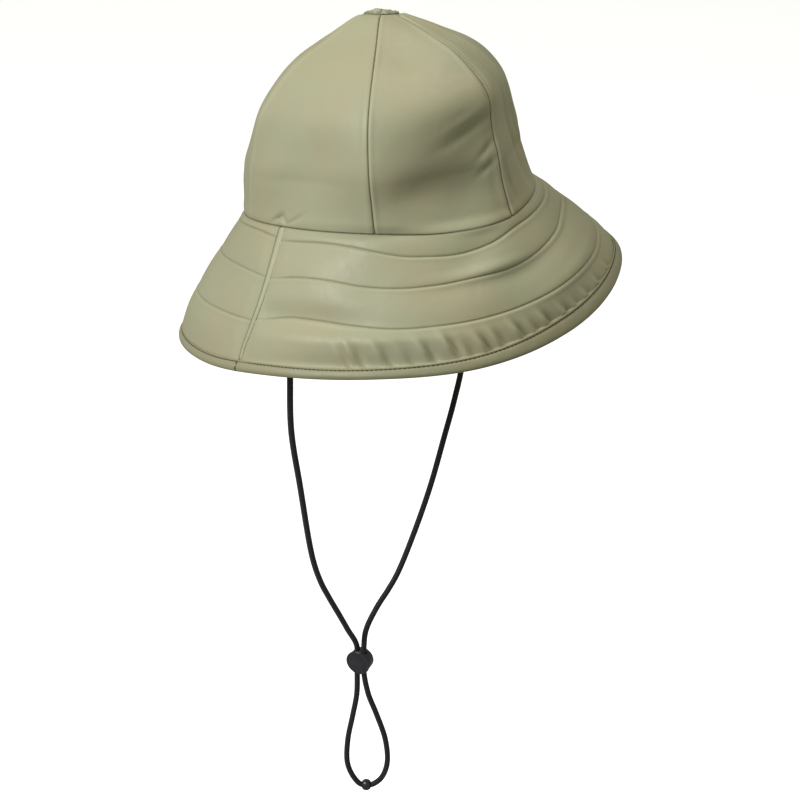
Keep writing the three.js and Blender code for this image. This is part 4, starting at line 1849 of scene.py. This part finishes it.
CORD_ROUTE = tuple(
    (x * MM, y * MM, z * MM)
    for x, y, z in (
        (-81.9, 9.1, 2.0), (-83.2, 8.8, -30.0), (-86.2, 8.4, -70.0),
        (-88.7, 8.0, -105.5), (-88.6, 8.3, -141.2), (-80.3, 9.5, -187.8),
        (-66.6, 12.4, -252.3), (-57.4, 13.7, -277.0), (-47.9, 14.6, -295.4),
        (-37.0, 15.8, -314.8), (-26.0, 17.6, -334.1), (-12.4, 20.8, -357.5),
        (-12.4, 20.8, -368.9), (-12.4, 20.8, -380.3), (-13.4, 20.6, -399.5),
        (-15.7, 22.6, -417.8), (-18.4, 25.8, -441.8), (-18.7, 26.1, -463.4),
        (-15.7, 22.6, -476.7), (-12.2, 18.6, -483.3), (-9.5, 15.4, -483.8),
        (-6.8, 12.2, -483.6), (-2.2, 6.8, -477.6), (0.8, 3.3, -464.3),
        (0.1, 4.1, -441.8), (-4.2, 9.2, -417.8), (-8.4, 13.3, -399.5),
        (-11.0, 15.2, -380.3), (-11.0, 15.2, -368.9), (-11.0, 15.2, -357.5),
        (-8.6, 15.0, -342.5), (2.0, 13.0, -326.2), (11.4, 11.1, -316.2),
        (20.0, 9.2, -305.0), (33.6, 5.3, -276.0), (47.3, 1.1, -240.0),
        (58.1, -2.3, -203.6), (67.4, -4.3, -174.4), (75.0, -4.6, -149.0),
        (80.2, -2.0, -110.0), (82.2, 3.4, -55.0), (81.9, 8.9, 0.4),
    )
)
LOCK_PLACE = Vector((-11.7 * MM, 18.0 * MM, -368.9 * MM))
LOCK_FACING = Vector((-0.974, -0.226, 0.0)).normalized()
BEAD_PLACE = Vector((-9.5 * MM, 15.4 * MM, -483.8 * MM))
LOOP_SIDEWAYS = Vector((0.651, -0.759, 0.0)).normalized()


@dataclass
class ChinCord:
    """Braided elastic cord from tab to tab, through the lock and the bead."""

    wardrobe: Wardrobe
    wide: float = 0.0042
    sides: int = 16

    def line(self) -> Array:
        """Close places along the cord's middle line.

        Returns:
            Places from one end of the cord to the other.
        """
        route = np.asarray(CORD_ROUTE)
        ends = [2 * route[0] - route[1], *route, 2 * route[-1] - route[-2]]
        places = []
        for start in range(len(route) - 1):
            before, here, after, last = (np.asarray(ends[start + step]) for step in range(4))
            gaps = [math.sqrt(np.linalg.norm(b - a)) for a, b in
                    ((before, here), (here, after), (after, last))]
            leave = ((here - before) / gaps[0] - (after - before) / (gaps[0] + gaps[1])
                     + (after - here) / gaps[1]) * gaps[1]
            reach = ((after - here) / gaps[1] - (last - here) / (gaps[1] + gaps[2])
                     + (last - after) / gaps[2]) * gaps[1]
            steps = max(4, int(np.linalg.norm(after - here) / (1.2 * MM)))
            for part in np.arange(steps) / steps:
                places.append(bridge((here, after), (leave, reach), part))
        return np.asarray([*places, route[-1]])

    def build(self, fittings: list[bpy.types.Object]) -> list[bpy.types.Object]:
        """Builds the cord.

        Args:
            fittings: The separate pieces that are threaded on it; not used.

        Returns:
            The cord in a list.
        """
        line = self.line()
        along = unit(np.gradient(line, axis=0))
        side = unit(np.cross(along[0], np.asarray([0.0, 1.0, 0.0])))
        sides = []
        for way in along:
            side = unit(side - way * float(side @ way))
            sides.append(side)
        across = np.asarray(sides)
        over = np.cross(along, across)
        angle = np.linspace(0.0, 2.0 * math.pi, self.sides + 1)
        ring = (np.cos(angle)[None, :, None] * across[:, None, :]
                + np.sin(angle)[None, :, None] * over[:, None, :])
        points = line[:, None, :] + ring * (self.wide / 2)
        way = lengths_along(line)
        around = np.linspace(0.0, math.pi * self.wide, self.sides + 1)
        u, v = np.meshgrid(way, around, indexing="ij")
        sheet = ClothSheet(
            points, np.stack([u, v], axis=-1), {}, 0.0, (self.wardrobe.braid,), True
        )
        piece = sheet.build()
        bpy.ops.object.mode_set(mode="EDIT")
        bpy.ops.mesh.select_all(action="SELECT")
        bpy.ops.mesh.fill_holes(sides=0)
        bpy.ops.mesh.select_all(action="SELECT")
        bpy.ops.mesh.normals_make_consistent(inside=False)
        bpy.ops.object.mode_set(mode="OBJECT")
        finish_piece(piece, "elastic_chin_cord", ("chin_cord",))
        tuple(CORD_ROUTE[0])
        log.info("the cord is %.3f m long", way[-1])
        return [piece]


def select_faces(piece: bpy.types.Object, test: Callable[[bpy.types.MeshPolygon], bool]) -> None:
    """Selects, in edit mode, the faces of a piece that pass a test.

    Args:
        piece: The piece.
        test: Says yes or no to a face.
    """
    bpy.ops.object.mode_set(mode="EDIT")
    bpy.ops.mesh.select_mode(type="FACE")
    bpy.ops.mesh.select_all(action="DESELECT")
    bpy.ops.object.mode_set(mode="OBJECT")
    for face in piece.data.polygons:
        face.select = bool(test(face))
    bpy.ops.object.mode_set(mode="EDIT")


def inset_steps(radius: float, steps: tuple[tuple[float, float], ...]) -> None:
    """Steps the selected faces inwards and up or down.

    Args:
        radius: Radius of which the widths are shares.
        steps: Width of each step as a share, and its height in millimetres.
    """
    for share, high in steps:
        bpy.ops.mesh.inset(thickness=radius * share, depth=high * MM)


@dataclass
class CordLock:
    """Flat round cord lock: a barrel with two bores and a lens shaped cap."""

    wardrobe: Wardrobe
    wide: float = 0.019
    thick: float = 0.0082
    cap_thick: float = 0.00225
    bore: float = 0.0050
    bores_apart: float = 0.0058
    front_share: float = 0.378
    cap_gap: float = 0.3 * MM
    back_steps: tuple[tuple[float, float], ...] = ((0.30, 0.35), (0.16, -0.5))
    cap_steps: tuple[tuple[float, float], ...] = (
        (0.09, 0.16), (0.07, -0.22), (0.16, 0.34), (0.22, 0.26), (0.22, 0.12),
    )

    def build(self) -> list[bpy.types.Object]:
        """Builds barrel and cap and returns them."""
        return [self.barrel(), self.cap()]

    def barrel(self) -> bpy.types.Object:
        """Builds the barrel with its two bores.

        Returns:
            The finished barrel.
        """
        face = self.thick * self.front_share
        back = face - self.thick
        radius = self.wide / 2 * 0.965
        deselect()
        bpy.ops.mesh.primitive_cylinder_add(
            vertices=56, radius=radius, depth=self.thick, location=(0, 0, (face + back) / 2)
        )
        piece = bpy.context.object
        bpy.ops.object.transform_apply(location=True, rotation=True, scale=True)
        select_faces(piece, lambda f: f.normal.z < -0.9)
        bpy.ops.transform.resize(value=(0.93, 0.93, 1.0))
        inset_steps(radius, self.back_steps)
        select_faces(piece, lambda f: f.normal.z > 0.9)
        inset_steps(radius, ((0.08, 0.0),))
        bpy.ops.object.mode_set(mode="OBJECT")
        soften(piece, 1.0 * MM, 4, 40)
        for side in (-0.5, 0.5):
            drill(piece, self.bore / 2, self.wide * 1.4, (0, side * self.bores_apart, 0))
        bpy.ops.object.shade_smooth_by_angle(angle=math.radians(35))
        piece.data.materials.append(self.wardrobe.plastic)
        self.upright(piece)
        return finish_piece(piece, "lock_barrel", ("cord_lock_body",))

    def upright(self, piece: bpy.types.Object) -> None:
        """Turns a piece so that Z faces out of the lock and its bores run upright.

        Args:
            piece: The piece.
        """
        x, z = Vector((0, 0, 1)), LOCK_FACING
        y = z.cross(x)
        turn = Matrix((x, y, z)).transposed().to_4x4()
        piece.data.transform(Matrix.Translation(LOCK_PLACE) @ turn)

    def cap(self) -> bpy.types.Object:
        """Builds the lens shaped cap.

        Returns:
            The finished cap.
        """
        low = self.thick * self.front_share + self.cap_gap
        radius = self.wide / 2
        deselect()
        bpy.ops.mesh.primitive_cylinder_add(
            vertices=64, radius=radius, depth=self.cap_thick * 0.6,
            location=(0, 0, low + self.cap_thick * 0.3),
        )
        piece = bpy.context.object
        bpy.ops.object.transform_apply(location=True, rotation=True, scale=True)
        select_faces(piece, lambda f: f.normal.z > 0.9)
        inset_steps(radius, self.cap_steps)
        select_faces(piece, lambda f: f.normal.z < -0.9)
        inset_steps(radius, ((0.10, 0.0),))
        bpy.ops.object.mode_set(mode="OBJECT")
        soften(piece, 0.35 * MM, 3, 30)
        bpy.ops.object.shade_smooth_by_angle(angle=math.radians(38))
        piece.data.materials.append(self.wardrobe.plastic)
        self.upright(piece)
        return finish_piece(piece, "lock_cap", ("cord_lock_cap",))


@dataclass
class LoopBead:
    """Two lobed bead on the low end of the cord's loop."""

    wardrobe: Wardrobe
    tall: float = 0.009
    bore: float = 0.0054

    def build(self) -> list[bpy.types.Object]:
        """Builds the bead and returns it in a list.

        Returns:
            The finished pieces.
        """
        deselect()
        bpy.ops.mesh.primitive_uv_sphere_add(segments=32, ring_count=24, radius=self.tall * 0.46)
        piece = bpy.context.object
        waist = self.tall * 0.12
        for vertex in piece.data.vertices:
            spot = vertex.co
            pinch = 1.0 - 0.17 * math.exp(-((spot.z / waist) ** 2))
            vertex.co = Vector((spot.x * pinch, spot.y * pinch, spot.z * 1.1))
        heading = math.atan2(LOOP_SIDEWAYS.y, LOOP_SIDEWAYS.x)
        drill(piece, self.bore / 2, self.tall * 2, heading=heading)
        soften(piece, 0.25 * MM, 2, 50)
        bpy.ops.object.shade_smooth_by_angle(angle=math.radians(40))
        piece.data.materials.append(self.wardrobe.plastic)
        piece.data.transform(Matrix.Translation(BEAD_PLACE))
        return [finish_piece(piece, "two_lobed_bead", ("loop_bead",))]


# Studio


def facing(place: tuple[float, float, float], aim: tuple[float, float, float]) -> Euler:
    """Rotation of a light or camera at a place that looks at its aim."""
    return (Vector(aim) - Vector(place)).to_track_quat("-Z", "Y").to_euler()


@dataclass
class Softbox:
    """One large soft light, aimed at the hat."""

    name: str
    place: tuple[float, float, float]
    size: float
    power: float
    colour: str = "FFFFFF"

    def build(self) -> None:
        """Hangs the light and aims it at the frame's origin."""
        bpy.ops.object.light_add(type="AREA", location=self.place)
        light = bpy.context.object
        light.name = self.name
        light.data.shape = "DISK"
        light.data.size = self.size
        light.data.energy = self.power
        light.data.color = linear(self.colour)[:3]
        light.rotation_euler = facing(self.place, (0.0, 0.0, 0.0))


@dataclass
class Studio:
    """Camera, paper floor and soft lights."""

    eye: tuple[float, float, float] = (-0.9466, -0.8222, 0.4972)
    aim: tuple[float, float, float] = (0.0052, -0.0060, -0.1508)
    lens: float = 92.04
    floor_level: float = -0.75
    sky: float = 0.25
    sky_colour: str = "FFFEEF"
    lights: tuple[Softbox, ...] = (
        Softbox("key_softbox", (-2.03, 0.54, 1.53), 1.5, 57.0, "FBFBFF"),
        Softbox("top_softbox", (0.50, -0.20, 2.2), 1.2, 19.0, "FFFBF0"),
    )

    def camera(self) -> None:
        """Sets up the camera at the photograph's viewing angle."""
        deselect()
        bpy.ops.object.camera_add(location=self.eye)
        camera = bpy.context.object
        camera.rotation_euler = facing(self.eye, self.aim)
        camera.data.lens = self.lens
        camera.data.sensor_width = 36.0
        camera.data.sensor_fit = "HORIZONTAL"
        camera.data.clip_end = 60.0
        bpy.context.scene.camera = camera

    def build(self) -> None:
        """Lays the floor and hangs the lights."""
        deselect()
        bpy.ops.mesh.primitive_plane_add(size=30.0, location=(0, 0, 0))
        floor = bpy.context.object
        floor.name = "paper_floor"
        floor.data.transform(Matrix.Translation((0.0, 0.0, self.floor_level)))
        floor.data.materials.append(PaperSweep().make())
        floor.visible_diffuse = False
        floor.visible_glossy = False
        for light in self.lights:
            light.build()
        world = bpy.data.worlds.new("studio_air")
        world.use_nodes = True
        air = world.node_tree.nodes["Background"]
        air.inputs["Color"].default_value = linear(self.sky_colour)
        air.inputs["Strength"].default_value = self.sky
        bpy.context.scene.world = world
        bpy.context.scene.view_settings.view_transform = "Standard"
        bpy.context.scene.view_settings.look = "None"


def main() -> None:
    """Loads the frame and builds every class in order."""
    logging.basicConfig(level=logging.INFO, format="%(message)s")
    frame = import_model()
    log.info("the frame has %d nodes", len(frame["nodes"]))
    studio = Studio()
    studio.camera()
    form, wardrobe = HatForm(), Wardrobe()
    fittings = [*CordLock(wardrobe).build(), *LoopBead(wardrobe).build()]
    pieces = [*fittings, *ChinCord(wardrobe).build(fittings)]
    seam = form.side_seam_turn
    pieces += CrownPanels(form, wardrobe).build()
    pieces += TopPatch(form, wardrobe).build()
    front = BrimPiece(
        form, wardrobe, "quilted_brim_front", "brim_front", -seam, seam, FRONT_LINES, FRONT_FOLDS,
        line_fade=0.6,
    )
    back = BrimPiece(
        form, wardrobe, "quilted_brim_back", "brim_back", seam, 360.0 - seam, BACK_LINES,
        BACK_FOLDS, seam_line=0.9 * MM,
    )
    pieces += [*front.build(), *back.build()]
    pieces += SideSeam(form, wardrobe, "lapped_seam_right", "side_seam_right", seam, -1.0).build()
    pieces += SideSeam(form, wardrobe, "lapped_seam_left", "side_seam_left", 360 - seam, 1.0).build()
    pieces += EdgeTape(form, wardrobe).build()
    pieces += Stitching(form, wardrobe, front, back).build()
    pieces += CordTab(form, wardrobe, "cord_tab_right", "cord_anchor_right", 95.0).build()
    pieces += CordTab(form, wardrobe, "cord_tab_left", "cord_anchor_left", 265.0).build()
    studio.build()
    log.info("%d pieces", len(pieces))


if __name__ == "__main__":
    main()
